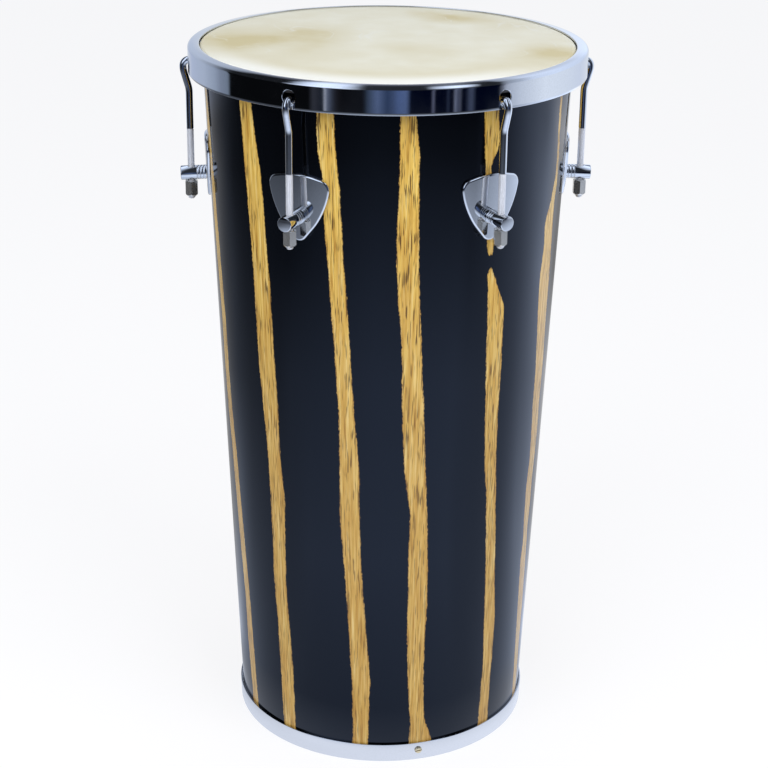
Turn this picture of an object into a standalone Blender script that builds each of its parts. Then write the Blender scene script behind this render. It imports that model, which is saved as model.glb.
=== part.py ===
"""Rebolo: a tall tapered hand drum with a skin head, tuned by hooked rods.

Six rods hook through the counter-hoop and pull it down over the flesh hoop that the skin is tucked
round. Each rod runs through a cross-drilled post, which a bolt holds to a plate on the shell, and a
tall nut under the post takes the pull. The drum stands on a metal band round its foot.

Metres, +Z up, floor at z = 0, axis of the drum on Z, front towards -Y.
"""
import math

import bmesh
import bpy
from mathutils import Matrix, Vector

MM = 0.001

# Clearances
GAP = 0.3 * MM                   # between pieces that seat on each other
HOOP_CLEARANCE = 0.4 * MM        # between the tucked skin and the counter-hoop's wall
LIP_CLEARANCE = 0.6 * MM         # between the skin's collar and the counter-hoop's lip

# Shell, a plywood cone
SHELL_LENGTH = 600 * MM
SHELL_FOOT_RADIUS = 126.5 * MM
SHELL_HEAD_RADIUS = 151.5 * MM
SHELL_WALL = 7 * MM
BEARING_ROUND = 3 * MM           # outer round of the edge that the skin bends over
BEARING_BEVEL = 3.5 * MM         # drop of the bevel inside that edge

# Foot band, a metal strip folded under the shell
BAND_HEIGHT = 17 * MM
BAND_WALL = 1.8 * MM
BAND_FOLD = 1.2 * MM
BAND_EDGE = 0.6 * MM             # bevel round the band's upper and lower edges

# Screws of the foot band
SCREW_COUNT = 3
SCREW_FIRST_ANGLE = 12           # degrees from the front, towards +X
SCREW_HEIGHT = 10.1 * MM
SCREW_RADIUS = 1.5 * MM
SCREW_HEAD_RADIUS = 3.2 * MM
SCREW_HEAD_HEIGHT = 1.4 * MM
SCREW_BITE = 4.5 * MM            # how deep a screw reaches into the shell's wall

# Skin head and the ring that it is tucked round
SKIN = 1.2 * MM
SKIN_TUCK = 290                  # degrees of the flesh hoop that the skin goes round
FLESH_WIRE = 6 * MM

# Counter-hoop
HOOP_HEIGHT = 22 * MM
HOOP_WALL = 1.8 * MM
HOOP_ROUND = 2 * MM
HOOK_HOLE_DROP = 13 * MM         # from the hoop's top to the middle of a hook hole
HOOK_HOLE_PLAY = 2.5 * MM        # how much larger a hook hole's radius is than its rod's

# Tension rods
ROD_RADIUS = 2.9 * MM
ROD_OUTSET = 0.5 * MM            # from the middle of the hoop's wall out to the rod's line
HOOK_PLAY = 0.9 * MM             # room between the hook and each face of the hoop's wall
HOOK_LEG = 3 * MM                # straight end of the hook inside the hoop
JOGGLE_LENGTH = 17 * MM          # where a rod swings out to pass round the hoop
ROD_STANDOUT = 2.5 * MM          # rod showing below its nut

# Tension nuts
NUT_FLATS = 10 * MM
NUT_HEIGHT = 13 * MM
NUT_BEVEL = 0.7 * MM

# Lugs: a plate, a post, a bolt and a washer at each of the angles
LUG_COUNT = 6
LUG_FIRST_ANGLE = -30            # degrees from the front, towards +X
LUG_DROP = 109 * MM              # from the hoop's top to the post's line at the shell
PLATE_THICKNESS = 2.2 * MM
PLATE_BEVEL = 1 * MM
POST_RADIUS = 6 * MM
POST_NOSE = 8.6 * MM             # post beyond the rod's line
POST_EDGE = 0.6 * MM
POST_BOLT_DEPTH = 6.8 * MM       # depth of the threaded hole in the post's root
GROOVE_COUNT = 3
GROOVE_PITCH = 1.7 * MM
GROOVE_WIDTH = 0.9 * MM
GROOVE_DEPTH = 0.5 * MM
BOLT_RADIUS = 3 * MM
BOLT_HEAD_RADIUS = 5 * MM
BOLT_HEAD_HEIGHT = 3.6 * MM
BOLT_HEAD_EDGE = 0.8 * MM
BOLT_BITE = 6 * MM               # how deep a bolt reaches into its post
WASHER_RADIUS = 7 * MM
WASHER_THICKNESS = 1.2 * MM

# Corners of a lug plate before rounding: across, up from the post, radius, arc steps
PLATE_TOP = (0, 36 * MM, 60 * MM, 3)
PLATE_SHOULDER = (27.5 * MM, 29.5 * MM, 8 * MM, 3)
PLATE_WAIST = (23 * MM, 4 * MM, 60 * MM, 2)
PLATE_TIP = (0, -24 * MM, 7.5 * MM, 4)
PLATE_STRIPS = 6                 # flat strips that the plate's curve is made of

# Sides of the turned pieces
ROUND_SIDES = 60                 # shell, band, skin and hoops
RING_SIDES = 8                   # section of the flesh hoop
SMALL_SIDES = 12                 # posts, bolts, washers, screws and their holes
HOOK_HOLE_SIDES = 16
EDGE_STEPS = 2                   # in the rounds of the bearing edge and of the skin over it
TUCK_STEPS = 8                   # in the skin's tuck round the flesh hoop

# Heights and radii that follow
SHELL_FOOT_Z = BAND_FOLD + GAP
SHELL_HEAD_Z = SHELL_FOOT_Z + SHELL_LENGTH
BEARING_Z = SHELL_HEAD_Z - BEARING_ROUND
TAPER = (SHELL_HEAD_RADIUS - SHELL_FOOT_RADIUS) / (BEARING_Z - SHELL_FOOT_Z)
TILT = math.atan(TAPER)

SKIN_TOP_Z = SHELL_HEAD_Z + GAP + SKIN
HOOP_TOP_Z = SKIN_TOP_Z
COLLAR_RADIUS = SHELL_HEAD_RADIUS + GAP + SKIN
TUCK_INNER = FLESH_WIRE / 2 + GAP
TUCK_OUTER = TUCK_INNER + SKIN
FLESH_RADIUS = COLLAR_RADIUS + TUCK_INNER
FLESH_Z = HOOP_TOP_Z - HOOP_WALL - GAP - TUCK_OUTER

HOOP_INNER_RADIUS = FLESH_RADIUS + TUCK_OUTER + HOOP_CLEARANCE
HOOP_RADIUS = HOOP_INNER_RADIUS + HOOP_WALL
HOOP_FOOT_Z = HOOP_TOP_Z - HOOP_HEIGHT
HOOK_HOLE_Z = HOOP_TOP_Z - HOOK_HOLE_DROP
HOOK_HOLE_RADIUS = ROD_RADIUS + HOOK_HOLE_PLAY

# The hook bends over the middle of the wall, and lies a gap above the lower edge of its hole
HOOK_RADIUS = HOOP_INNER_RADIUS + HOOP_WALL / 2
HOOK_INSIDE = HOOP_WALL / 2 + HOOK_PLAY
HOOK_BEND = HOOK_INSIDE + GAP + ROD_RADIUS
HOOK_Z = HOOK_HOLE_Z - HOOK_HOLE_RADIUS - math.sqrt(HOOK_INSIDE ** 2 - (HOOP_WALL / 2) ** 2)
ROD_LINE = HOOK_RADIUS + ROD_OUTSET

# Lug places, counted along the post's line from the shell's surface
LUG_Z = HOOP_TOP_Z - LUG_DROP
LUG_RADIUS = SHELL_FOOT_RADIUS + TAPER * (LUG_Z - SHELL_FOOT_Z)
PLATE_SEAT_RADIUS = LUG_RADIUS / math.cos(math.pi / ROUND_SIDES) + GAP
PLATE_FACE = PLATE_SEAT_RADIUS - LUG_RADIUS + PLATE_THICKNESS
POST_ROOT = PLATE_FACE + GAP
ROD_CROSSING = (ROD_LINE - LUG_RADIUS) / math.cos(TILT)
POST_END = ROD_CROSSING + POST_NOSE
WASHER_FACE = -SHELL_WALL * math.cos(TILT) - GAP
BOLT_SEAT = WASHER_FACE - WASHER_THICKNESS - GAP

# The nut's top clears the post's underside, which falls outwards with the post's tilt
NUT_CORNER = NUT_FLATS / 2 / math.cos(math.pi / 6)
POST_UNDERSIDE_Z = LUG_Z - (ROD_LINE + NUT_CORNER - LUG_RADIUS) * TAPER - POST_RADIUS / math.cos(TILT)
NUT_TOP_Z = POST_UNDERSIDE_Z - GAP
NUT_FOOT_Z = NUT_TOP_Z - NUT_HEIGHT
ROD_TIP_Z = NUT_FOOT_Z - ROD_STANDOUT

SCREW_SEAT_RADIUS = SHELL_FOOT_RADIUS + TAPER * (SCREW_HEIGHT - SHELL_FOOT_Z) + GAP + BAND_WALL


def shell_radius(height):
    """Outer radius of the shell's cone at a height."""
    return SHELL_FOOT_RADIUS + TAPER * (height - SHELL_FOOT_Z)


def finish(name, colour, roughness, metallic):
    """Principled material with one plain colour."""
    material = bpy.data.materials.new(name)
    material.use_nodes = True
    shader = material.node_tree.nodes["Principled BSDF"]
    shader.inputs["Base Color"].default_value = (*colour, 1)
    shader.inputs["Roughness"].default_value = roughness
    shader.inputs["Metallic"].default_value = metallic
    material.diffuse_color = (*colour, 1)
    return material


def arc(centre, radius, start, end, steps):
    """Points of an arc in the (radius, height) plane, angles in degrees from outwards to upwards."""
    points = []
    for step in range(steps + 1):
        angle = math.radians(start + (end - start) * step / steps)
        points.append((centre[0] + radius * math.cos(angle), centre[1] + radius * math.sin(angle)))
    return points


def turned(profile, sides, ring=False):
    """Mesh spun round Z from (radius, height) points; the middles of its flats have those radii.

    A flat faces +X. A profile that starts and ends on the axis stays open there; a ring is closed.
    """
    grow = 1 / math.cos(math.pi / sides)
    half_step = Matrix.Rotation(math.pi / sides, 3, "Z")
    bm = bmesh.new()
    verts = [bm.verts.new(half_step @ Vector((radius * grow, 0, height))) for radius, height in profile]
    pairs = list(zip(verts, verts[1:]))
    if ring:
        pairs.append((verts[-1], verts[0]))
    edges = [bm.edges.new(pair) for pair in pairs]
    bmesh.ops.spin(bm, geom=verts + edges, cent=(0, 0, 0), axis=(0, 0, 1), dvec=(0, 0, 0),
                   angle=math.tau, steps=sides, use_merge=True, use_duplicate=False)
    bmesh.ops.remove_doubles(bm, verts=bm.verts, dist=0.001 * MM)
    return finished(bm)


def finished(bm):
    """Turn a bmesh into a mesh whose faces point out and whose round sides are shaded smooth."""
    bmesh.ops.recalc_face_normals(bm, faces=bm.faces)
    mesh = bpy.data.meshes.new("shape")
    bm.to_mesh(mesh)
    bm.free()
    return smoothed(mesh)


def smoothed(mesh):
    """Shade the gentle edges of a mesh smooth and keep the others sharp."""
    mesh.shade_smooth()
    mesh.set_sharp_from_angle(angle=math.radians(35))
    return mesh


def drilled(mesh, bores):
    """Cut round bores out of a mesh; each bore is (place, radius, start, end, sides) along its Z."""
    bm = bmesh.new()
    for place, radius, start, end, sides in bores:
        flats_out = radius / math.cos(math.pi / sides)
        middle = Matrix.Translation((0, 0, (start + end) / 2)) @ Matrix.Rotation(math.pi / sides, 4, "Z")
        bmesh.ops.create_cone(bm, cap_ends=True, segments=sides, radius1=flats_out, radius2=flats_out,
                              depth=end - start, matrix=place @ middle)
    body = bpy.data.objects.new("body", mesh)
    cutter = bpy.data.objects.new("bores", finished(bm))
    for item in (body, cutter):
        bpy.context.collection.objects.link(item)
    modifier = body.modifiers.new("bores", "BOOLEAN")
    modifier.operation = "DIFFERENCE"
    modifier.solver = "EXACT"
    modifier.object = cutter
    evaluated = body.evaluated_get(bpy.context.evaluated_depsgraph_get())
    cut = bpy.data.meshes.new_from_object(evaluated)
    for item in (body, cutter):
        bpy.data.objects.remove(item)
    return smoothed(cut)


def rounded(corners):
    """Outline whose (across, up, radius, steps) corners are replaced by arcs."""
    outline = []
    for index, (across, up, radius, steps) in enumerate(corners):
        corner = Vector((across, up))
        before = (Vector(corners[index - 1][:2]) - corner).normalized()
        after = (Vector(corners[(index + 1) % len(corners)][:2]) - corner).normalized()
        half = before.angle(after) / 2
        centre = corner + (before + after).normalized() * (radius / math.sin(half))
        start = corner + before * (radius / math.tan(half)) - centre
        end = corner + after * (radius / math.tan(half)) - centre
        first = math.atan2(start.y, start.x)
        turn = (math.atan2(end.y, end.x) - first + math.pi) % math.tau - math.pi
        for step in range(steps + 1):
            angle = first + turn * step / steps
            outline.append((centre.x + radius * math.cos(angle), centre.y + radius * math.sin(angle)))
    return outline


def place_radially(angle, radius, height, tilt):
    """Frame at an angle from the front, radius and height, whose Z points out and down by the tilt."""
    around = Matrix.Rotation(math.radians(angle - 90), 4, "Z")
    return around @ Matrix.Translation((radius, 0, height)) @ Matrix.Rotation(math.pi / 2 + tilt, 4, "Y")


def lug_angles():
    """Angles of the lugs from the front, in degrees."""
    return [LUG_FIRST_ANGLE + 360 / LUG_COUNT * index for index in range(LUG_COUNT)]


def screw_angles():
    """Angles of the foot band's screws from the front, in degrees."""
    return [SCREW_FIRST_ANGLE + 360 / SCREW_COUNT * index for index in range(SCREW_COUNT)]


def lug_place(angle):
    """Frame of a lug: on the shell's surface, Z along the post and -X up the shell."""
    return place_radially(angle, LUG_RADIUS, LUG_Z, TILT)


def screw_place(angle):
    """Frame of a band screw: on the band's surface, Z along the screw, out of the drum."""
    return place_radially(angle, SCREW_SEAT_RADIUS, SCREW_HEIGHT, TILT)


def shell_mesh():
    """Tapered tube with a rounded bearing edge, drilled for the lug bolts and the band's screws."""
    inner_bevel_z = SHELL_HEAD_Z - BEARING_BEVEL
    profile = [(SHELL_FOOT_RADIUS, SHELL_FOOT_Z)]
    profile += arc((SHELL_HEAD_RADIUS - BEARING_ROUND, BEARING_Z), BEARING_ROUND, 0, 90, EDGE_STEPS)
    profile += [
        (shell_radius(inner_bevel_z) - SHELL_WALL, inner_bevel_z),
        (SHELL_FOOT_RADIUS - SHELL_WALL, SHELL_FOOT_Z),
    ]
    beyond = 2 * SHELL_WALL
    bores = [
        (lug_place(angle), BOLT_RADIUS + GAP, -beyond, beyond, SMALL_SIDES) for angle in lug_angles()
    ]
    pilot_end = BAND_WALL + 2 * GAP + SCREW_BITE
    bores += [
        (screw_place(angle), SCREW_RADIUS + GAP, -pilot_end, 0, SMALL_SIDES) for angle in screw_angles()
    ]
    return drilled(turned(profile, ROUND_SIDES, ring=True), bores)


def band_mesh():
    """Strip that follows the shell's taper, folded inwards under its foot, with screw holes."""
    seat = GAP + BAND_WALL
    top_radius = shell_radius(BAND_HEIGHT)
    profile = [
        (SHELL_FOOT_RADIUS - SHELL_WALL, 0),
        (SHELL_FOOT_RADIUS + seat - BAND_EDGE, 0),
        (SHELL_FOOT_RADIUS + seat, BAND_EDGE),
        (top_radius + seat, BAND_HEIGHT - BAND_EDGE),
        (top_radius + seat - BAND_EDGE, BAND_HEIGHT),
        (top_radius + GAP, BAND_HEIGHT),
        (SHELL_FOOT_RADIUS + GAP, BAND_FOLD),
        (SHELL_FOOT_RADIUS - SHELL_WALL, BAND_FOLD),
    ]
    beyond = 2 * BAND_WALL
    bores = [
        (screw_place(angle), SCREW_RADIUS + GAP, -beyond, beyond, SMALL_SIDES) for angle in screw_angles()
    ]
    return drilled(turned(profile, ROUND_SIDES, ring=True), bores)


def skin_mesh():
    """Skin from its middle, over the bearing edge, down the shell and round the flesh hoop."""
    edge = (SHELL_HEAD_RADIUS - BEARING_ROUND, BEARING_Z)
    ring = (FLESH_RADIUS, FLESH_Z)
    over = BEARING_ROUND + GAP
    outside = [(0, SKIN_TOP_Z)]
    outside += arc(edge, over + SKIN, 90, 0, EDGE_STEPS)
    outside += arc(ring, TUCK_INNER, 180, 180 + SKIN_TUCK, TUCK_STEPS)
    inside = [(0, SKIN_TOP_Z - SKIN)]
    inside += arc(edge, over, 90, 0, EDGE_STEPS)
    inside += arc(ring, TUCK_OUTER, 180, 180 + SKIN_TUCK, TUCK_STEPS)
    return turned(outside + inside[::-1], ROUND_SIDES)


def flesh_hoop_mesh():
    """Round ring inside the tuck of the skin."""
    section = arc((FLESH_RADIUS, FLESH_Z), FLESH_WIRE / 2, 0, 360, RING_SIDES)[:-1]
    return turned(section, ROUND_SIDES, ring=True)


def counter_hoop_mesh():
    """Wall with a rounded top and a lip inwards over the flesh hoop, and a hole for each hook."""
    lip_radius = COLLAR_RADIUS + LIP_CLEARANCE
    profile = [(HOOP_RADIUS, HOOP_FOOT_Z)]
    profile += arc((HOOP_RADIUS - HOOP_ROUND, HOOP_TOP_Z - HOOP_ROUND), HOOP_ROUND, 0, 90, 3)
    profile += [
        (lip_radius, HOOP_TOP_Z),
        (lip_radius, HOOP_TOP_Z - HOOP_WALL),
        (HOOP_INNER_RADIUS, HOOP_TOP_Z - HOOP_WALL),
        (HOOP_INNER_RADIUS, HOOP_FOOT_Z),
    ]
    beyond = 2 * HOOP_WALL
    bores = [
        (place_radially(angle, HOOK_RADIUS, HOOK_HOLE_Z, 0), HOOK_HOLE_RADIUS, -beyond, beyond,
         HOOK_HOLE_SIDES)
        for angle in lug_angles()
    ]
    return drilled(turned(profile, ROUND_SIDES, ring=True), bores)


def rod_path():
    """Middle line of a rod in (radius, height): straight, joggled outwards, then over the hoop."""
    outer_leg = HOOK_RADIUS + HOOK_BEND
    joggle_foot = HOOP_FOOT_Z - JOGGLE_LENGTH
    joggle_steps = 6
    path = [(ROD_LINE, ROD_TIP_Z)]
    for step in range(joggle_steps + 1):
        share = step / joggle_steps
        sway = (1 - math.cos(math.pi * share)) / 2
        path.append((ROD_LINE + (outer_leg - ROD_LINE) * sway, joggle_foot + JOGGLE_LENGTH * share))
    path += arc((HOOK_RADIUS, HOOK_Z), HOOK_BEND, 0, 180, 7)
    path.append((HOOK_RADIUS - HOOK_BEND, HOOK_Z - HOOK_LEG))
    return path


def rod_curve():
    """Round bar along a rod's middle line, with closed ends, in the plane y = 0."""
    curve = bpy.data.curves.new("rod", "CURVE")
    curve.dimensions = "3D"
    curve.bevel_depth = ROD_RADIUS
    curve.bevel_resolution = 2
    curve.use_fill_caps = True
    path = rod_path()
    spline = curve.splines.new("POLY")
    spline.points.add(len(path) - 1)
    for point, (radius, height) in zip(spline.points, path):
        point.co = (radius, 0, height, 1)
    return curve


def nut_mesh():
    """Tall hexagon nut round its rod's line, from z = 0 up, with both ends bevelled."""
    bm = bmesh.new()
    bmesh.ops.create_cone(bm, cap_ends=True, segments=6, radius1=NUT_CORNER, radius2=NUT_CORNER,
                          depth=NUT_HEIGHT, matrix=Matrix.Translation((0, 0, NUT_HEIGHT / 2)))
    rims = [edge for edge in bm.edges if abs(edge.verts[0].co.z - edge.verts[1].co.z) < GAP]
    bmesh.ops.bevel(bm, geom=rims, offset=NUT_BEVEL, segments=1, profile=0.5, affect="EDGES", material=-1)
    beyond = NUT_HEIGHT / 2
    bore = (Matrix.Identity(4), ROD_RADIUS + GAP, -beyond, NUT_HEIGHT + beyond, SMALL_SIDES)
    return drilled(finished(bm), [bore])


def plate_mesh():
    """Plectrum-shaped plate, bevelled round its front, bent to the shell and drilled for its bolt."""
    right = [PLATE_SHOULDER, PLATE_WAIST]
    left = [(-across, up, radius, steps) for across, up, radius, steps in reversed(right)]
    outline = rounded([PLATE_TOP] + right + [PLATE_TIP] + left)
    bm = bmesh.new()
    back = bm.faces.new([bm.verts.new((-up, across, 0)) for across, up in outline])
    front = bmesh.ops.extrude_face_region(bm, geom=[back], use_keep_orig=True)["geom"]
    raised = [item for item in front if isinstance(item, bmesh.types.BMVert)]
    bmesh.ops.translate(bm, verts=raised, vec=(0, 0, PLATE_THICKNESS))
    bmesh.ops.recalc_face_normals(bm, faces=bm.faces)
    rim = [edge for edge in bm.edges if all(vert in raised for vert in edge.verts)]
    bmesh.ops.bevel(bm, geom=rim, offset=PLATE_BEVEL, segments=1, profile=0.5, affect="EDGES", material=-1)
    half_width = max(vert.co.y for vert in bm.verts)
    for strip in range(1, PLATE_STRIPS):
        across = half_width * (2 * strip / PLATE_STRIPS - 1)
        bmesh.ops.bisect_plane(bm, geom=bm.verts[:] + bm.edges[:] + bm.faces[:], dist=0.001 * MM,
                               plane_co=(0, across, 0), plane_no=(0, 1, 0))
    for vert in bm.verts:
        angle = vert.co.y / PLATE_SEAT_RADIUS
        reach = PLATE_SEAT_RADIUS + vert.co.z
        vert.co.y = reach * math.sin(angle)
        vert.co.z = reach * math.cos(angle) - LUG_RADIUS
    beyond = 2 * PLATE_FACE
    return drilled(finished(bm), [(Matrix.Identity(4), BOLT_RADIUS + GAP, -beyond, beyond, SMALL_SIDES)])


def post_mesh():
    """Round grooved post with a blind hole in its root for the bolt and a cross bore for the rod."""
    bolt_hole = BOLT_RADIUS + GAP
    profile = [
        (0, POST_ROOT + POST_BOLT_DEPTH),
        (bolt_hole, POST_ROOT + POST_BOLT_DEPTH),
        (bolt_hole, POST_ROOT),
        (POST_RADIUS, POST_ROOT),
    ]
    cross_bore = ROD_RADIUS + GAP
    middle = (POST_ROOT + ROD_CROSSING - cross_bore) / 2
    for groove in range(GROOVE_COUNT):
        along = middle + GROOVE_PITCH * (groove - (GROOVE_COUNT - 1) / 2)
        profile += [
            (POST_RADIUS, along - GROOVE_WIDTH / 2),
            (POST_RADIUS - GROOVE_DEPTH, along),
            (POST_RADIUS, along + GROOVE_WIDTH / 2),
        ]
    profile += [(POST_RADIUS, POST_END - POST_EDGE), (POST_RADIUS - POST_EDGE, POST_END), (0, POST_END)]
    upright = Matrix.Translation((0, 0, ROD_CROSSING)) @ Matrix.Rotation(-math.pi / 2 - TILT, 4, "Y")
    beyond = 2 * POST_RADIUS
    return drilled(turned(profile, SMALL_SIDES), [(upright, cross_bore, -beyond, beyond, SMALL_SIDES)])


def bolt_mesh():
    """Pan-head bolt from inside the shell into the post's root."""
    return turned([
        (0, BOLT_SEAT - BOLT_HEAD_HEIGHT),
        (BOLT_HEAD_RADIUS - BOLT_HEAD_EDGE, BOLT_SEAT - BOLT_HEAD_HEIGHT),
        (BOLT_HEAD_RADIUS, BOLT_SEAT - BOLT_HEAD_HEIGHT + BOLT_HEAD_EDGE),
        (BOLT_HEAD_RADIUS, BOLT_SEAT),
        (BOLT_RADIUS, BOLT_SEAT),
        (BOLT_RADIUS, POST_ROOT + BOLT_BITE),
        (0, POST_ROOT + BOLT_BITE),
    ], SMALL_SIDES)


def washer_mesh():
    """Flat washer against the shell's inner wall."""
    hole = BOLT_RADIUS + GAP
    return turned([
        (hole, WASHER_FACE),
        (WASHER_RADIUS, WASHER_FACE),
        (WASHER_RADIUS, WASHER_FACE - WASHER_THICKNESS),
        (hole, WASHER_FACE - WASHER_THICKNESS),
    ], SMALL_SIDES, ring=True)


def screw_mesh():
    """Raised-head screw through the band into the shell's wall."""
    shoulder = SCREW_HEAD_HEIGHT / 2
    return turned([
        (0, -BAND_WALL - GAP - SCREW_BITE),
        (SCREW_RADIUS, -BAND_WALL - GAP - SCREW_BITE + SCREW_RADIUS),
        (SCREW_RADIUS, GAP),
        (SCREW_HEAD_RADIUS, GAP),
        (SCREW_HEAD_RADIUS * 0.9, GAP + shoulder),
        (SCREW_HEAD_RADIUS * 0.5, GAP + SCREW_HEAD_HEIGHT),
        (0, GAP + SCREW_HEAD_HEIGHT),
    ], SMALL_SIDES)


def piece(name, shape, material, parent=None):
    """Object for one sub-part, in its parent's frame."""
    item = bpy.data.objects.new(name, shape)
    if not shape.materials:
        shape.materials.append(material)
    item.parent = parent
    bpy.context.collection.objects.link(item)
    return item


def guide(name, place):
    """Empty that carries pieces at a frame."""
    empty = bpy.data.objects.new(name, None)
    empty.matrix_world = place
    bpy.context.collection.objects.link(empty)
    return empty


def build():
    """Make every piece of the drum."""
    for item in list(bpy.data.objects):
        bpy.data.objects.remove(item)

    lacquer = finish("black_lacquer", (0.012, 0.014, 0.02), 0.12, 0)
    chrome = finish("chrome", (0.78, 0.8, 0.84), 0.08, 1)
    skin = finish("rawhide", (0.83, 0.72, 0.52), 0.5, 0)
    steel = finish("zinc_steel", (0.6, 0.6, 0.58), 0.3, 1)
    nickel = finish("nickel_steel", (0.5, 0.46, 0.4), 0.28, 1)
    wire = finish("ring_steel", (0.4, 0.4, 0.42), 0.4, 1)

    piece("shell", shell_mesh(), lacquer)
    piece("foot_band", band_mesh(), chrome)
    piece("skin_head", skin_mesh(), skin)
    piece("flesh_hoop", flesh_hoop_mesh(), wire)
    piece("counter_hoop", counter_hoop_mesh(), chrome)

    screw = screw_mesh()
    for number, angle in enumerate(screw_angles(), 1):
        piece(f"band_screw_{number}", screw, steel, guide(f"screw_place_{number}", screw_place(angle)))

    rod, nut, plate, post, bolt, washer = (
        rod_curve(), nut_mesh(), plate_mesh(), post_mesh(), bolt_mesh(), washer_mesh()
    )
    for number, angle in enumerate(lug_angles(), 1):
        lug = guide(f"lug_place_{number}", lug_place(angle))
        piece(f"lug_plate_{number}", plate, chrome, lug)
        piece(f"lug_post_{number}", post, chrome, lug)
        piece(f"lug_bolt_{number}", bolt, steel, lug)
        piece(f"lug_washer_{number}", washer, steel, lug)
        side = guide(f"rod_side_{number}", Matrix.Rotation(math.radians(angle - 90), 4, "Z"))
        piece(f"tension_rod_{number}", rod, chrome, side)
        piece(f"tension_nut_{number}", nut, nickel, side).location = (ROD_LINE, 0, NUT_FOOT_Z)


build()
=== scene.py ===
# %% [markdown]
# # A rebolo drum
# A rebolo is a tall hand drum from samba groups. Its shell is a plywood cone, lacquered black, with
# stripes of bare wood left between. A hide skin is pulled over the wide end by a chromed hoop, and six
# hooked rods with nuts keep it tight. The CAD model is loaded first and never changed. Each new piece
# below is built from its own sizes to stand in for a CAD piece, which is hidden, and the sizes of both
# are printed side by side.

# %% Load the CAD model
import math

import bmesh
import bpy
import numpy
from mathutils import Matrix, Vector


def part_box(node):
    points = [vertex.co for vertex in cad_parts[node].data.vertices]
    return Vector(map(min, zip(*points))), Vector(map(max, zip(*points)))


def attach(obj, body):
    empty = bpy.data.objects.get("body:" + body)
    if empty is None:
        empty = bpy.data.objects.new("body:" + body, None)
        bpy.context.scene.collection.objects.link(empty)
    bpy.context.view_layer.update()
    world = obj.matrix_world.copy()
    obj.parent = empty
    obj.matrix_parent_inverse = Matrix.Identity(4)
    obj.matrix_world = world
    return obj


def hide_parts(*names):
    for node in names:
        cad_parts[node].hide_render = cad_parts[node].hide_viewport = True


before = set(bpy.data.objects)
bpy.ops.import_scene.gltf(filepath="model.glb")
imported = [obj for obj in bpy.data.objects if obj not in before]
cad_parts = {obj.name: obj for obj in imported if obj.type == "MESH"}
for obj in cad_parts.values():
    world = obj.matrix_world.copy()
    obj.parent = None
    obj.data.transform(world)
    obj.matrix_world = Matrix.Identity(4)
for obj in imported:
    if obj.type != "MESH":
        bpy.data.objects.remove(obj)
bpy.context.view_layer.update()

# %% [markdown]
# ## Sizes
# The drum stands on the floor at height 0 with its axis on Z, and its front looks towards -Y. These
# are the sizes of the real pieces, in metres. Heights come from the floor. Everything that follows
# from them, such as the lean of the shell, is worked out and not typed in twice.

# %% Sizes of the drum
MM = 0.001
SHELL_FOOT_Z = 1.5 * MM
SHELL_HEAD_Z = 601.5 * MM
SHELL_FOOT_RADIUS = 126.5 * MM
TAPER = 25 / 597
TILT = math.atan(TAPER)
GAP = 0.3 * MM

HEAD_Z = 603 * MM
HOOP_RADIUS = 163 * MM
HOLE_Z = 590 * MM

ROD_RADIUS = 2.9 * MM
ROD_LINE = 162.6 * MM
ROD_TIP_Z = 471.3 * MM
LUG_Z = 494 * MM
LUG_ANGLES = [-30, 30, 90, 150, 210, 270]
SCREW_ANGLES = [12, 132, 252]


def shell_radius(height):
    """Outer radius of the shell's cone at a height."""
    return SHELL_FOOT_RADIUS + TAPER * (height - SHELL_FOOT_Z)


LUG_RADIUS = shell_radius(LUG_Z)
print("shell at the head:", round(shell_radius(SHELL_HEAD_Z) / MM, 1), "mm")
print("lean of its wall:", round(math.degrees(TILT), 2), "degrees")

# %% [markdown]
# ## Camera
# The picture was taken from a little over a metre and a half away with a long lens, held above the
# drum and looking down at it. A long lens keeps the sides of the cone nearly straight. The turn,
# tilt and roll are applied one after the other, as a photographer sets a tripod head.

# %% Set the camera
def new_object(name, data):
    """Object in the scene that holds the data of a camera, a lamp or a mesh."""
    item = bpy.data.objects.new(name, data)
    bpy.context.scene.collection.objects.link(item)
    return item


camera = new_object("camera", bpy.data.cameras.new("camera"))
camera.data.sensor_width = 36
camera.data.lens = 89.9
turn_left = Matrix.Rotation(math.radians(-3.0), 4, "Z")
look_down = Matrix.Rotation(math.radians(90 - 21.84), 4, "X")
roll = Matrix.Rotation(math.radians(0.678), 4, "Z")
stand = Matrix.Translation((-0.0814, -1.5524, 0.9252))
camera.matrix_world = stand @ turn_left @ look_down @ roll
bpy.context.scene.camera = camera
bpy.context.scene.view_settings.view_transform = "Standard"
print("camera", round(camera.location.length, 3), "m from the drum's foot, lens", camera.data.lens, "mm")

# %% [markdown]
# ## Working with nodes
# A material is a small network of nodes. Typing each node and link in full hides the idea behind the
# bookkeeping, so a few short helpers do that. The first two turn a colour of a paint chart into the
# linear values that a renderer needs, and add a node and fill its inputs.

# %% Helpers for nodes
def paint(red, green, blue):
    """Linear colour from 0 to 255 values as a paint chart gives them."""
    return tuple(((value / 255 + 0.055) / 1.055) ** 2.4 for value in (red, green, blue))


def add(tree, kind, inputs=None, **settings):
    """Add a shader node, change its settings, and set or link its inputs by name or number."""
    item = tree.nodes.new("ShaderNode" + kind)
    for name, value in settings.items():
        setattr(item, name, value)
    for name, value in (inputs or {}).items():
        socket = item.inputs[name]
        if isinstance(value, bpy.types.NodeSocket):
            tree.links.new(value, socket)
        elif socket.type == "RGBA":
            socket.default_value = (*value, 1)
        else:
            socket.default_value = value
    return item


print("middle grey in linear light:", round(paint(128, 128, 128)[0], 3))

# %% [markdown]
# Most patterns are arithmetic on noise: values are added, compared, stretched and mixed. Each helper
# here adds one or two nodes and gives back their result, so that calls can be nested as in a formula.

# %% Helpers for arithmetic
def calculate(tree, operation, *values):
    """Result of a Math node."""
    return add(tree, "Math", dict(enumerate(values)), operation=operation).outputs[0]


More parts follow.
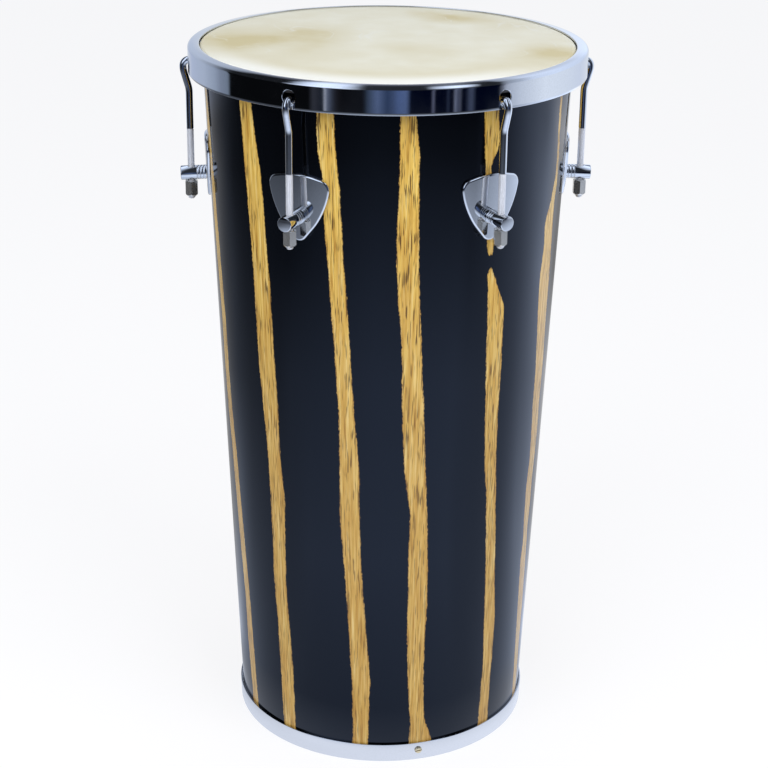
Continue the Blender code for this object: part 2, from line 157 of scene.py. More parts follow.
def vector(tree, operation, *values):
    """Result of a Vector Math node; a length or a distance is a plain number."""
    found = add(tree, "VectorMath", dict(enumerate(values)), operation=operation).outputs
    return found["Value" if operation in ("LENGTH", "DISTANCE") else 0]


def rescale(tree, value, low, high, new_low=0.0, new_high=1.0, smooth=False):
    """Value from low to high turned into new_low to new_high, and held there beyond."""
    wanted = {"Value": value, "From Min": low, "From Max": high, "To Min": new_low, "To Max": new_high}
    kind = "SMOOTHSTEP" if smooth else "LINEAR"
    return add(tree, "MapRange", wanted, interpolation_type=kind).outputs[0]


def mix(tree, share, first, second, how="MIX"):
    """First colour with a share of the second one."""
    return add(tree, "Mix", {0: share, 6: first, 7: second}, data_type="RGBA", blend_type=how).outputs[2]


def noise(tree, where, scale, upright=1, detail=3, shift=(0, 0, 0), depth=1):
    """Noise of about 0 to 1; upright or depth below 1 makes it longer up or back."""
    stretch = (1, depth, upright)
    placed = add(tree, "Mapping", {"Vector": where, "Scale": stretch, "Location": shift}).outputs[0]
    return add(tree, "TexNoise", {"Vector": placed, "Scale": scale, "Detail": detail}).outputs[0]


print("arithmetic helpers ready")

# %% [markdown]
# A colour ramp blends through a row of stops, and a bump makes a smooth surface look uneven. A
# material starts with an empty tree of nodes, and it is closed when its shader is joined to the
# output.

# %% Helpers for colours and materials
def row_of_colours(tree, factor, stops):
    """Colour ramp through (position, colour) stops."""
    item = add(tree, "ValToRGB", {"Fac": factor})
    elements = item.color_ramp.elements
    for element, (position, colour) in zip(elements, (stops[0], stops[-1])):
        element.position = position
        element.color = (*colour, 1)
    for position, colour in stops[1:-1]:
        elements.new(position).color = (*colour, 1)
    return item.outputs["Color"]


def bump(tree, height, strength, depth):
    """Surface direction tilted by a height, whose largest depth is in millimetres."""
    heights = {"Height": height, "Strength": strength, "Distance": depth * MM}
    return add(tree, "Bump", heights).outputs[0]


def new_material(title):
    """Material, its emptied node tree, and the place of each point in the object."""
    material = bpy.data.materials.new(title)
    material.use_nodes = True
    tree = material.node_tree
    tree.nodes.clear()
    return material, tree, add(tree, "TexCoord").outputs["Object"]


def close_material(tree, surface):
    """Join a shader to the output."""
    add(tree, "OutputMaterial", {"Surface": surface})
    print("material with", len(tree.nodes), "nodes")


print("material helpers ready")

# %% [markdown]
# ## Studio
# Chrome and gloss lacquer have almost no colour of their own: what they show is the room. The room
# here is a studio for shiny goods. In front of the drum it is dark, with a few thin bright gaps
# between black cloths, and white walls stand at both sides and behind. That is why the hoop is black
# in front and pale at its sides. The walls are painted on the world by compass direction. Only shiny
# surfaces see them; the soft, even light that falls on everything is set apart from them.

# %% Walls of the studio
CLOTH = (0.003, 0.0035, 0.0045)
BLUE_CLOTH = (0.0005, 0.002, 0.011)


def compass(degrees):
    """Position on the ramp of walls for a direction, 0 in front of the drum and 90 at its right."""
    return (degrees + 180) / 360


# Compass direction and colour; below 0 is at the left of the drum
LEFT_WALLS = {
    -180: (0.92, 0.96, 1.0), -153: (0.52, 0.6, 0.8), -132: (0.49, 0.57, 0.74),
    -118: (0.36, 0.43, 0.57), -112: (0.25, 0.3, 0.41), -104.6: (0.2, 0.25, 0.34), -103.2: CLOTH,
    -47.5: CLOTH, -44.6: (0.038, 0.042, 0.058), -41.5: (0.018, 0.021, 0.032),
    -39.4: (0.012, 0.018, 0.03), -38.0: (0.36, 0.4, 0.5), -36.4: (0.09, 0.115, 0.18),
    -33: (0.022, 0.025, 0.038), -30.5: (0.009, 0.0095, 0.013), -28: (0.005, 0.0055, 0.008),
    -16: (0.006, 0.007, 0.011), -13.8: (0.04, 0.06, 0.105), -8.6: (0.1, 0.145, 0.28),
    -3.2: (0.032, 0.055, 0.125), 0: (0.055, 0.085, 0.18),
}
RIGHT_WALLS = {
    0: (0.055, 0.085, 0.18), 3.5: (0.088, 0.14, 0.31), 7.6: (0.1, 0.15, 0.31), 9.6: BLUE_CLOTH,
    21.5: BLUE_CLOTH, 22.2: (0.19, 0.21, 0.33), 22.9: BLUE_CLOTH, 29.9: BLUE_CLOTH,
    30.7: (0.03, 0.042, 0.085), 31.5: BLUE_CLOTH, 34.4: BLUE_CLOTH, 35.3: (0.2, 0.23, 0.34),
    36.4: (0.03, 0.04, 0.08), 37.4: (0.24, 0.27, 0.4), 38.2: BLUE_CLOTH, 41.4: BLUE_CLOTH,
    44.4: (0.068, 0.088, 0.155), 47.4: BLUE_CLOTH, 61.8: BLUE_CLOTH, 64.6: (0.16, 0.18, 0.24),
    66.6: (0.42, 0.47, 0.6), 70.8: (0.55, 0.62, 0.77), 77: (0.67, 0.75, 0.91), 97: (0.9, 0.99, 1.15),
    118: (0.85, 0.94, 1.1), 139: (0.76, 0.845, 1.03), 180: (0.92, 0.96, 1.0),
}
print("stops in the walls:", len(LEFT_WALLS), "and", len(RIGHT_WALLS))

# %% [markdown]
# Near the floor the walls fade. There, and for the strips of light overhead, a table of plain
# brightness by direction is enough: all pale surfaces share one cool tint.

# %% Foot of the walls and strips overhead
def tinted(brightness, degrees, blue=1.0):
    """Colour of a pale surface under the studio's cool light; it is neutral at the back."""
    cool = blue * min(1, max(0, (140 - abs(degrees)) / 20))
    return (brightness * (1 - 0.13 * cool), brightness, brightness * (1.03 + 0.24 * cool))


# Brightness at the floor's far edge by compass direction, and at the foot of the walls behind it
BACK_LEFT = {-180: 0.7, -150: 0.35, -131: 0.21, -123: 0.16, -115: 0.1}
BACK_RIGHT = {
    62: 0.2, 76: 0.48, 85: 0.69, 93: 0.87, 105: 0.9, 113: 0.82, 121: 0.97, 130: 1.2, 138: 1.1,
    158: 0.5, 180: 0.5,
}
FAR_RING = {**BACK_LEFT, -107: 0.06, -70: 0.05, -9: 0.1, 30: 0.06, 52: 0.05, **BACK_RIGHT}
FOOT_OF_WALLS = {
    **BACK_LEFT, -107: 0.03, -83: 0.012, -43: 0.014, -20: 0.045, -3: 0.055, 15: 0.045, 37: 0.018,
    52: 0.03, **BACK_RIGHT,
}

# Long strips of light hang overhead, side by side, and run from the front to the back. Seen from the
# drum they meet at one far point of the back wall, so a strip is told by its direction from there
STRIPS = {
    -180: 1.05, -110: 0.62, -80: 0.57, -70: 0.53, -60: 0.35, -53: 0.07, -50: 0.012, -30: 0.012,
    -27.5: 0.55, -24: 0.95, -20: 1.15, -15: 0.95, -12: 0.5, -9.5: 0.03, 7: 0.02, 10: 0.6, 15: 1.25,
    19: 0.85, 22.5: 0.02, 28: 0.02, 30.5: 0.34, 35: 0.5, 40: 0.78, 50: 0.85, 60: 0.79, 70: 0.76,
    80: 1.0, 100: 1.1, 180: 1.05,
}
FAR_POINT = (0.057, 0.972, 0)

# Near the horizon the front strip at the left is a little wider and the one at the right is dim
LOW_STRIPS = {}
for degrees, brightness in STRIPS.items():
    if -32 < degrees < -18:
        degrees -= 2
    if 8 < degrees < 21:
        brightness *= 0.12
    LOW_STRIPS[degrees] = brightness
print("stops in the strips:", len(STRIPS), "and", len(LOW_STRIPS))

# %% [markdown]
# A colour ramp can be bent round the compass: the angle of a direction picks the place on the ramp.
# The walls, the strips and the floor are all painted in this way.

# %% Helpers for directions
def ring_of_colours(tree, position, table, blue=1.0):
    """Ramp round the compass from a table of directions with a brightness or a colour."""
    return row_of_colours(tree, position, [
        (compass(degrees), value if isinstance(value, tuple) else tinted(value, degrees, blue))
        for degrees, value in table.items()
    ])


def bearing(tree, parts):
    """Compass position on a ramp of the direction or place with these parts."""
    towards_front = calculate(tree, "MULTIPLY", parts["Y"], -1)
    round_about = calculate(tree, "ARCTAN2", parts["X"], towards_front)
    return calculate(tree, "MULTIPLY_ADD", round_about, 1 / math.tau, 0.5)


print("the drum's right is at", compass(90), "on a ramp")

# %% [markdown]
# The world puts it together. A shiny surface sees the walls round about, their foot below the
# horizon and the strips overhead. Everything else sees one even grey, and the camera sees white.

# %% Build the world
# How bright the walls are at a height, from below the horizon to overhead
BY_HEIGHT = [
    (0.365, (1.0, 1.0, 1.0)), (0.38, (0.856, 0.856, 0.856)), (0.608, (0.856, 0.856, 0.856)),
    (0.625, (0.6, 0.6, 0.63)), (0.646, (0.46, 0.47, 0.52)), (0.671, (0.37, 0.38, 0.45)),
    (0.703, (0.27, 0.28, 0.34)), (0.75, (0.125, 0.13, 0.17)), (0.787, (0.065, 0.07, 0.1)),
    (0.854, (0.045, 0.05, 0.07)),
]

world = bpy.data.worlds.new("studio")
bpy.context.scene.world = world
world.use_nodes = True
room = world.node_tree
room.nodes.clear()
ray = add(room, "TexCoord").outputs["Generated"]
direction = add(room, "SeparateXYZ", {0: ray}).outputs
position = bearing(room, direction)
at_right = calculate(room, "GREATER_THAN", position, 0.5)
at_left_walls = ring_of_colours(room, position, LEFT_WALLS)
around = mix(room, at_right, at_left_walls, ring_of_colours(room, position, RIGHT_WALLS))
low = rescale(room, direction["Z"], -0.235, -0.275)
around = mix(room, low, around, ring_of_colours(room, position, FOOT_OF_WALLS))
fading = row_of_colours(room, rescale(room, direction["Z"], -1, 1), BY_HEIGHT)
around = mix(room, 1.0, around, fading, "MULTIPLY")
offset = vector(room, "SUBTRACT", ray, FAR_POINT)
offset = vector(room, "MULTIPLY", offset, (1, 1, 0))
spread = vector(room, "LENGTH", offset)
# The strips hang near, so beside the far point they are seen a little closer together
narrower = calculate(room, "DIVIDE", spread, calculate(room, "ADD", spread, 0.11))
aside = add(room, "SeparateXYZ", {0: offset}).outputs
aside = {"X": calculate(room, "MULTIPLY", aside["X"], narrower), "Y": aside["Y"]}
strip_position = bearing(room, aside)
strips = ring_of_colours(room, strip_position, STRIPS)
low_strips = ring_of_colours(room, strip_position, LOW_STRIPS)
strips = mix(room, rescale(room, direction["Z"], 0.45, 0.7), low_strips, strips)
aside = add(room, "CombineXYZ", aside).outputs[0]
overhead = rescale(room, vector(room, "LENGTH", aside), 0.0, 0.10)
overhead = calculate(room, "MULTIPLY", overhead, rescale(room, direction["Z"], -0.02, 0.2))
seen_by_gloss = mix(room, overhead, around, strips)
rays = add(room, "LightPath").outputs
light = mix(room, rays["Is Glossy Ray"], (0.55, 0.56, 0.58), seen_by_gloss)
light = mix(room, rays["Is Camera Ray"], light, (1, 1, 1))
background = add(room, "Background", {"Color": light, "Strength": 1})
add(room, "OutputWorld", {"Surface": background.outputs[0]})
print("world with", len(room.nodes), "nodes")

# %% [markdown]
# ## Floor
# The floor is one large white sheet. The camera sees it almost white, with a faint soft shadow round
# the foot band. The shiny shell mirrors the part of the floor in front of it: bright up to about a
# metre away, then fading into the dark of the room. That fading is what makes the lacquer look grey
# at its foot and black under the hoop.

# %% Brightness of the floor
# Distance from the drum's axis in metres, how cool the light is there, brightness by direction
FLOOR_RINGS = [
    (0.135, 0.5, {
        -180: 0.48, -156: 0.33, -117: 0.58, -60: 0.92, 0: 1.0, 45: 1.05, 80: 0.94, 120: 0.64,
        150: 0.33, 180: 0.48,
    }),
    (0.155, 0.5, {
        -180: 0.45, -157: 0.26, -115: 0.44, -60: 0.84, -35: 1.0, 0: 0.97, 45: 0.95, 80: 0.85,
        120: 0.72, 150: 0.45, 180: 0.56,
    }),
    (0.2, 1.0, {
        -180: 0.55, -152: 0.38, -125: 0.74, -100: 0.6, -80: 0.52, -45: 0.55, -7: 0.66, 30: 0.7,
        52: 0.63, 72: 0.75, 95: 0.88, 125: 0.95, 143: 0.76, 180: 0.76,
    }),
    (0.45, 1.0, {
        -180: 0.6, -153: 0.4, -131: 0.58, -120: 0.58, -112: 0.5, -104: 0.44, -95: 0.45, -77: 0.52,
        -63: 0.6, -52: 0.76, -30: 0.86, -8: 0.92, 39: 0.94, 46: 0.8, 60: 0.7, 76: 0.68, 84: 0.76,
        94: 0.95, 102: 1.12, 112: 0.98, 120: 0.95, 132: 0.68, 148: 0.54, 180: 0.62,
    }),
    (0.85, 1.0, {
        -180: 0.8, -150: 0.5, -131: 0.31, -119: 0.25, -103: 0.24, -75: 0.32, -66: 0.46, -56: 0.53,
        -30: 0.68, -9: 0.8, 42: 0.87, 50: 0.78, 62: 0.7, 81: 0.71, 89: 0.74, 101: 0.92, 110: 0.94,
        118: 0.9, 133: 0.97, 153: 0.66, 180: 0.8,
    }),
    (1.25, 1.0, {
        -180: 0.7, -150: 0.4, -131: 0.25, -121: 0.23, -113: 0.18, -105: 0.15, -77: 0.13, -66: 0.12,
        -57: 0.18, -35: 0.32, -9: 0.46, 43: 0.48, 51: 0.4, 62: 0.48, 75: 0.62, 83: 0.71, 91: 0.77,
        103: 1.02, 111: 1.2, 119: 1.25, 127: 1.2, 137: 0.8, 147: 0.39, 156: 0.31, 180: 0.4,
    }),
    (1.7, 1.0, {
        -180: 0.7, -150: 0.4, -131: 0.27, -122: 0.16, -114: 0.08, -106: 0.065, -78: 0.06, -58: 0.04,
        -30: 0.09, -9: 0.14, 20: 0.13, 43: 0.11, 52: 0.13, 62: 0.3, 76: 0.5, 84: 0.69, 93: 0.85,
        104: 1.03, 112: 1.05, 120: 1.1, 137: 0.86, 147: 0.44, 157: 0.31, 180: 0.4,
    }),
    (2.0, 1.0, FAR_RING),
]
print("rings on the floor:", len(FLOOR_RINGS), "out to", FLOOR_RINGS[-1][0], "m")

# %% [markdown]
# Between two rings the finish blends from one ramp to the next. The kind of ray decides what the sheet
# is: bright paper with a shadow for the camera, the rings for a shiny surface, and a plain pale sheet
# that lights the drum from below for everything else.

# %% Mix the floor's finish
floor_paper, tree, place = new_material("floor_paper")
parts = add(tree, "SeparateXYZ", {0: place}).outputs
away = vector(tree, "LENGTH", place)
position = bearing(tree, parts)
glow = None
for radius, blue, table in FLOOR_RINGS:
    ring = ring_of_colours(tree, position, table, blue)
    if glow is not None:
        ring = mix(tree, rescale(tree, away, last_radius, radius), glow, ring)
    glow = ring
    last_radius = radius
mirrored = add(tree, "Emission", {"Color": glow}).outputs[0]
beyond = rescale(tree, away, 2.0, 2.2)
faded = add(tree, "MixShader", {0: beyond, 1: mirrored, 2: add(tree, "BsdfTransparent").outputs[0]})
lit = add(tree, "BsdfDiffuse", {"Color": (0.32, 0.32, 0.33)}).outputs[0]
pale = add(tree, "Emission", {"Color": (0.735, 0.735, 0.74)}).outputs[0]
seen = add(tree, "AddShader", {0: lit, 1: pale}).outputs[0]
plain = add(tree, "BsdfDiffuse", {"Color": (0.8, 0.8, 0.8)}).outputs[0]
rays = add(tree, "LightPath").outputs
surface = add(tree, "MixShader", {0: rays["Is Camera Ray"], 1: plain, 2: seen}).outputs[0]
surface = add(tree, "MixShader", {0: rays["Is Glossy Ray"], 1: surface, 2: faded.outputs[0]}).outputs[0]
close_material(tree, surface)

# %% [markdown]
# The sheet is a flat disc. Blender works on a shape as a `bmesh`, and an object holds mesh data, so a
# helper turns one into the other.

# %% Cut the sheet
def as_mesh(bm, name, finishes=()):
    """Mesh data with its finishes from a working shape, which is used up."""
    mesh = bpy.data.meshes.new(name)
    bm.to_mesh(mesh)
    bm.free()
    for finish in finishes:
        mesh.materials.append(finish)
    return mesh


bm = bmesh.new()
bmesh.ops.create_circle(bm, cap_ends=True, segments=96, radius=9)
floor = new_object("floor", as_mesh(bm, "floor", [floor_paper]))
print("floor", round(floor.dimensions.x), "m across")

# %% [markdown]
# ## Lamps
# Two large softboxes stand in front at the left and the right. A lamp's size sets how soft its
# shadows are, and its power how bright a white thing gets. Together with the even light they bring a
# white surface to just under full white, so that colours look as they are mixed. Shiny surfaces
# don't see these two: what they mirror from above are the strips of light that were set before.

# %% Hang the lamps
LAMP_SIZE = 1.2
LAMP_DISTANCE = 1.9
LAMP_HEIGHT_ANGLE = math.radians(44)
LAMP_POWER = 12.2
LAMP_TARGET = Vector((0, 0, 0.45))


def softbox(name, degrees):
    """Square lamp aimed at the drum from a compass direction, 0 in front."""
    lamp = new_object(name, bpy.data.lights.new(name, "AREA"))
    lamp.data.shape = "SQUARE"
    lamp.data.size = LAMP_SIZE
    lamp.data.energy = LAMP_POWER
    flat = math.cos(LAMP_HEIGHT_ANGLE)
    towards = Vector((
        math.sin(math.radians(degrees)) * flat,
        -math.cos(math.radians(degrees)) * flat,
        math.sin(LAMP_HEIGHT_ANGLE),
    ))
    lamp.location = LAMP_TARGET + towards * LAMP_DISTANCE
    lamp.rotation_mode = "QUATERNION"
    lamp.rotation_quaternion = towards.to_track_quat("Z", "Y")
    lamp.visible_camera = False
    lamp.visible_glossy = False
    print(name, "at", [round(value, 2) for value in lamp.location])


softbox("softbox_left", -31)
softbox("softbox_right", 36)

# %% [markdown]
# ## Working with shapes
# Most of the metal pieces are turned, so most shapes here start as a profile: a few corners in a
# plane, some of them rounded, spun once round Z. `ease` rounds a corner and `turn` spins. In the
# cells that follow sizes are millimetres, unless MM turns them into metres.

# %% Helpers for shapes
def ease(bm, corner, reach, segments):
    """Round a corner, starting a reach in millimetres away from it."""
    bmesh.ops.bevel(bm, geom=[corner], offset=reach * MM, offset_type="OFFSET", segments=segments,
                    profile=0.5, affect="VERTICES", material=-1)


def profile(points, closed=True, cuts=None):
    """Corners (radius, height) in millimetres joined by edges in the XZ plane.

    A corner that is to be rounded also has its reach and segments. Cuts are for long edges, by number.
    """
    bm = bmesh.new()
    corners = [bm.verts.new((point[0] * MM, 0, point[1] * MM)) for point in points]
    ends = corners[1:] + corners[:1] if closed else corners[1:]
    edges = [bm.edges.new(pair) for pair in zip(corners, ends)]
    for corner, point in zip(corners, points):
        if len(point) > 2:
            ease(bm, corner, *point[2:])
    if cuts:
        bmesh.ops.subdivide_edges(bm, edges=[edges[number] for number in cuts[0]], cuts=cuts[1])
    return bm


def face_outwards(bm):
    """Point all faces of a closed shape outwards."""
    bmesh.ops.recalc_face_normals(bm, faces=bm.faces)
    return bm


def turn(bm, steps):
    """Spin a profile a full turn round Z, close it on the axis and point its faces outwards."""
    bmesh.ops.spin(bm, geom=bm.verts[:] + bm.edges[:], cent=(0, 0, 0), axis=(0, 0, 1), dvec=(0, 0, 0),
                   angle=math.tau, steps=steps, use_merge=True, use_duplicate=False)
    bmesh.ops.remove_doubles(bm, verts=bm.verts, dist=0.001 * MM)
    return face_outwards(bm)


def moved(bm, place):
    """Lay a whole shape at a place."""
    bmesh.ops.transform(bm, matrix=place, verts=bm.verts)
    return bm


print("shape helpers ready")

# %% [markdown]
# Holes and slots are cut as on the real pieces. `carve` takes one shape out of another with a Boolean
# modifier, whose exact solver keeps thin rims clean. `drill` makes a cutter whose ends flare, as the
# broken edge of a drilled hole does.

# %% Helpers for cutting
def carve(bm, cutter, operation="DIFFERENCE"):
    """Cut one shape out of another, or keep what both share."""
    work = new_object("work", as_mesh(bm, "work"))
    tool = new_object("tool", as_mesh(cutter, "tool"))
    modifier = work.modifiers.new("carve", "BOOLEAN")
    modifier.operation = operation
    modifier.solver = "EXACT"
    modifier.object = tool
    result = bpy.data.meshes.new_from_object(work.evaluated_get(bpy.context.evaluated_depsgraph_get()))
    carved = bmesh.new()
    carved.from_mesh(result)
    for mesh in (result, work.data, tool.data):
        bpy.data.meshes.remove(mesh)
    return carved


def drill(radius, low, high, flare, place):
    """Cutter along Z of a place, in millimetres, that also rounds the edges of its hole by a flare."""
    curve = [(flare * (1 - math.cos(math.radians(angle))), flare * (1 - math.sin(math.radians(angle))))
             for angle in (0, 18, 36, 54)]
    out, along = curve[-1]
    curve.append((out + 1, along - math.tan(math.radians(36))))
    points = [(0, low + along - 0.7)]
    points += [(radius + out, low + along) for out, along in reversed(curve)]
    points += [(radius + out, high - along) for out, along in curve]
    points += [(0, high - along + 0.7)]
    return moved(turn(profile(points, closed=False), 40), place)


print("cutting helpers ready")

# %% [markdown]
# Pieces are made round Z and then laid where they belong. `put` names a piece, gives it its finish
# and lets it ride on its body, and `put_round` does so for all six lugs.

# %% Helpers for placing pieces
def place_radially(angle, radius, height, tilt):
    """Frame at an angle from the front, a radius and a height, whose Z points out of the drum."""
    around = Matrix.Rotation(math.radians(angle - 90), 4, "Z")
    return around @ Matrix.Translation((radius, 0, height)) @ Matrix.Rotation(math.pi / 2 + tilt, 4, "Y")


def put(bm, name, node, body, finishes, sharp=30):
    """Make a shape into a named piece that stands for its CAD node and moves with its body."""
    mesh = as_mesh(bm, name, finishes)
    mesh.shade_smooth()
    mesh.set_sharp_from_angle(angle=math.radians(sharp))
    piece = new_object(name, mesh)
    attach(piece, body)
    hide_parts(node)
    low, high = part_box(node)
    sizes = [round((high - low)[axis] / MM, 1) for axis in range(3)]
    now = [round(value / MM, 1) for value in piece.dimensions]
    print(name, len(mesh.polygons), "faces, CAD size", sizes, "this size", now)
    return piece


def put_round(bm, name, node, body, finishes):
    """One copy of a shape, which is made for the lug at 90 degrees, at each of the lugs."""
    for number, angle in enumerate(LUG_ANGLES, 1):
        copy = moved(bm.copy(), Matrix.Rotation(math.radians(angle - 90), 4, "Z"))
        put(copy, f"{name}_{number}", f"{node}_{number}", body.format(number), finishes)
    bm.free()


LUG_PLACE = place_radially(90, LUG_RADIUS, LUG_Z, TILT)
print("the lug at 90 degrees stands at", [round(value / MM, 1) for value in LUG_PLACE.translation])

# %% [markdown]
# ## Lacquered wood with bare stripes
# On the real drum the wood was masked in long strips before the black lacquer went on, or the lacquer
# was rubbed away along them, and the whole was then given a clear gloss. The stripes run down the
# cone between crooked, frayed edges. Each stripe is written as a short table: at a height in
# millimetres, the angles of its left and right edge, in degrees from the front. The far side of the
# drum wasn't visible, so the stripes there repeat the shapes of the ones in front.

# %% Edges of the stripes
STRIPE_A = [
    (0, -44.5, -38.5), (80, -45.3, -38.8), (120, -45.5, -39.6), (160, -46.6, -40.5), (200, -46.3, -40.1),
    (240, -46.5, -39.6), (280, -46.8, -40.8), (320, -48.1, -41.1), (360, -49.3, -41.6),
    (400, -49.5, -42.1), (430, -49.7, -42.2), (460, -50.1, -43.1), (490, -50.7, -43.5),
    (520, -51.3, -44.2), (550, -51.9, -45.9), (575, -52.6, -47.0), (602, -52.6, -46.9),
]
STRIPE_B = [
    (0, -13.9, -7.7), (40, -13.6, -7.5), (80, -13.9, -6.8), (120, -14.7, -8.2), (160, -15.7, -9.5),
    (200, -17.0, -10.4), (240, -17.9, -10.9), (280, -17.9, -11.0), (320, -17.8, -12.4),
    (360, -18.6, -13.4), (400, -19.6, -14.3), (430, -20.3, -15.0), (460, -20.9, -15.9),
    (490, -21.9, -16.3), (520, -21.9, -16.9), (550, -23.6, -18.1), (602, -23.8, -18.6),
]
STRIPE_C = [
    (0, 8.0, 18.7), (12, 8.2, 18.0), (25, 8.4, 16.5), (40, 8.7, 14.3), (80, 7.3, 13.4),
    (120, 6.5, 13.4), (160, 6.5, 13.8), (200, 6.3, 13.3), (240, 6.6, 12.7), (280, 4.2, 11.5),
    (320, 3.2, 10.6), (360, 2.8, 9.6), (400, 2.2, 8.6), (430, 1.0, 7.8), (460, 0.3, 7.3),
    (490, 0.3, 7.0), (520, 0.8, 6.7), (550, 0.8, 6.6), (575, 0.7, 5.5), (602, 0.7, 5.5),
]
STRIPE_D = [
    (0, 39.6, 45.5), (40, 40.0, 45.2), (80, 40.2, 45.4), (120, 39.3, 45.4), (160, 38.5, 43.6),
    (200, 37.4, 42.4), (240, 36.3, 41.0), (280, 34.2, 39.7), (320, 33.2, 39.0), (360, 32.3, 39.1),
    (400, 31.7, 38.7), (415, 31.6, 38.3), (430, 31.2, 35.4), (445, 30.6, 32.9), (449, 31.3, 32.3),
    (452, 32.2, 31.4), (456, 32.2, 31.4), (460, 30.6, 32.1), (465, 30.0, 32.5), (490, 29.0, 31.2),
    (520, 28.4, 30.2), (535, 27.5, 29.6), (542, 27.3, 31.2), (550, 27.0, 32.4), (575, 26.2, 31.4),
    (602, 26.2, 31.4),
]
STRIPE_E = [
    (0, 67.6, 73.0), (77, 64.9, 70.6), (102, 64.1, 70.6), (138, 63.1, 69.7), (161, 62.2, 68.8),
    (175, 63.4, 68.4), (186, 63.0, 67.8), (210, 62.1, 68.3), (232, 61.7, 68.0), (254, 62.8, 68.8),
    (276, 62.4, 69.6), (310, 61.1, 68.6), (342, 61.0, 69.0), (377, 59.4, 67.7), (400, 58.4, 67.1),
    (426, 57.8, 67.0), (452, 59.1, 66.0), (468, 58.3, 65.5), (476, 58.8, 65.4), (486, 61.4, 65.3),
    (498, 62.9, 66.3), (508, 64.2, 66.4), (522, 64.2, 66.2), (546, 63.0, 64.8), (573, 62.3, 64.3),
    (602, 62.1, 64.1),
]
STRIPE_F = [
    (0, -66.9, -62.0), (25, -67.0, -62.1), (80, -68.8, -63.4), (120, -68.6, -64.0),
    (160, -70.2, -65.3), (200, -71.7, -66.7), (260, -73.7, -68.5), (300, -75.9, -70.7),
    (340, -76.6, -71.5), (380, -76.5, -71.5), (490, -80.4, -75.0), (602, -84.0, -79.0),
]

# The stripe, and how far it is turned from where its table has it
STRIPES = [(table, 0) for table in (STRIPE_A, STRIPE_B, STRIPE_C, STRIPE_D, STRIPE_E, STRIPE_F)]
STRIPES += [(STRIPE_A, 137.5), (STRIPE_C, 113.5), (STRIPE_B, 163.8), (STRIPE_F, 249.9)]
STRIPES += [(STRIPE_C, 196.6), (STRIPE_A, 276.0), (STRIPE_B, 274.5)]
print("stripes:", len(STRIPES))

# %% [markdown]
# A point of the wall is bare where it lies between the edges of a stripe. Looking that up in nodes
# would take hundreds of them, so it is worked out here once for every corner of the wall, and will be
# stored on the mesh.

# %% Distance into the stripes
def inside_stripes(places):
    """How many millimetres each place lies inside its nearest stripe; below zero is outside."""
    turns = numpy.degrees(numpy.arctan2(places[:, 0], -places[:, 1]))
    heights = places[:, 2] / MM
    per_degree = numpy.radians(1) * numpy.hypot(places[:, 0], places[:, 1]) / MM
    nearest = numpy.full(len(places), -99.0)
    for table, shift in STRIPES:
        levels, lefts, rights = zip(*table)
        left = numpy.interp(heights, levels, lefts) + shift
        right = numpy.interp(heights, levels, rights) + shift
        middle = (left + right) / 2
        aside = (turns - middle + 180) % 360 - 180
        nearest = numpy.maximum(nearest, ((right - left) / 2 - numpy.abs(aside)) * per_degree)
    return nearest


front = inside_stripes(numpy.array([[0, -shell_radius(300 * MM), 300 * MM]]))
print("from the middle of the front to the nearest stripe:", round(-float(front[0]), 1), "mm")

# %% [markdown]
# The finish reads how far inside a stripe a point lies, and shakes that distance with noise that is
# long down the drum and narrow across it. Where the result is above zero there is wood, so the edges
# fray as torn lacquer does. Dividing x and y by the cone's radius makes every pattern run along the
# slope of the cone and not straight down.

# %% Frayed edges of the lacquer
lacquer, tree, place = new_material("lacquer_with_bare_stripes")
parts = add(tree, "SeparateXYZ", {0: place}).outputs
middle_radius = 0.14
at_floor = SHELL_FOOT_RADIUS - TAPER * SHELL_FOOT_Z
cone = calculate(tree, "MULTIPLY_ADD", parts["Z"], TAPER / middle_radius, at_floor / middle_radius)
unrolled = add(tree, "CombineXYZ", {
    "X": calculate(tree, "DIVIDE", parts["X"], cone),
    "Y": calculate(tree, "DIVIDE", parts["Y"], cone),
    "Z": parts["Z"],
}).outputs[0]

inside = add(tree, "Attribute", attribute_name="bare", attribute_type="GEOMETRY").outputs["Fac"]
waves = noise(tree, unrolled, 90, 0.45, 2)
steps = noise(tree, unrolled, 330, 0.28, 2, (3, 1, 7))
fibres = noise(tree, unrolled, 1150, 0.38, 3, (1, 5, 2))
shaken = calculate(tree, "MULTIPLY_ADD", calculate(tree, "SUBTRACT", waves, 0.5), 1.0, inside)
shaken = calculate(tree, "MULTIPLY_ADD", calculate(tree, "SUBTRACT", steps, 0.5), 1.5, shaken)
shaken = calculate(tree, "MULTIPLY_ADD", calculate(tree, "SUBTRACT", fibres, 0.5), 2.4, shaken)
is_wood = rescale(tree, shaken, -0.12, 0.16)
print("nodes for the edges:", len(tree.nodes))

# %% [markdown]
# The wood is golden, in fine streaks that run up the cone, and brighter towards the head. Small dark
# flecks of the grain stand in clusters, and the wood is browner close to the lacquer.

# %% Wood grain
streaks = noise(tree, unrolled, 750, 0.035)
wood_above = row_of_colours(tree, streaks, [
    (0.30, paint(184, 134, 50)),
    (0.42, paint(231, 189, 88)),
    (0.55, paint(247, 209, 108)),
    (0.70, paint(254, 228, 148)),
])
wood_below = row_of_colours(tree, streaks, [
    (0.30, paint(162, 120, 54)),
    (0.42, paint(210, 168, 86)),
    (0.55, paint(226, 188, 105)),
    (0.70, paint(241, 212, 142)),
])
wood = mix(tree, rescale(tree, parts["Z"], 0.30, 0.50), wood_below, wood_above)
broad = noise(tree, unrolled, 260, 0.06, 2, (4, 4, 4))
wood = mix(tree, rescale(tree, broad, 0.35, 0.68, 0, 0.5), wood, paint(196, 146, 62))
flecks = noise(tree, unrolled, 950, 0.06, 1, (9, 2, 5))
clusters = noise(tree, unrolled, 75, 0.4, 1, (2, 8, 1))
in_cluster = rescale(tree, clusters, 0.34, 0.52)
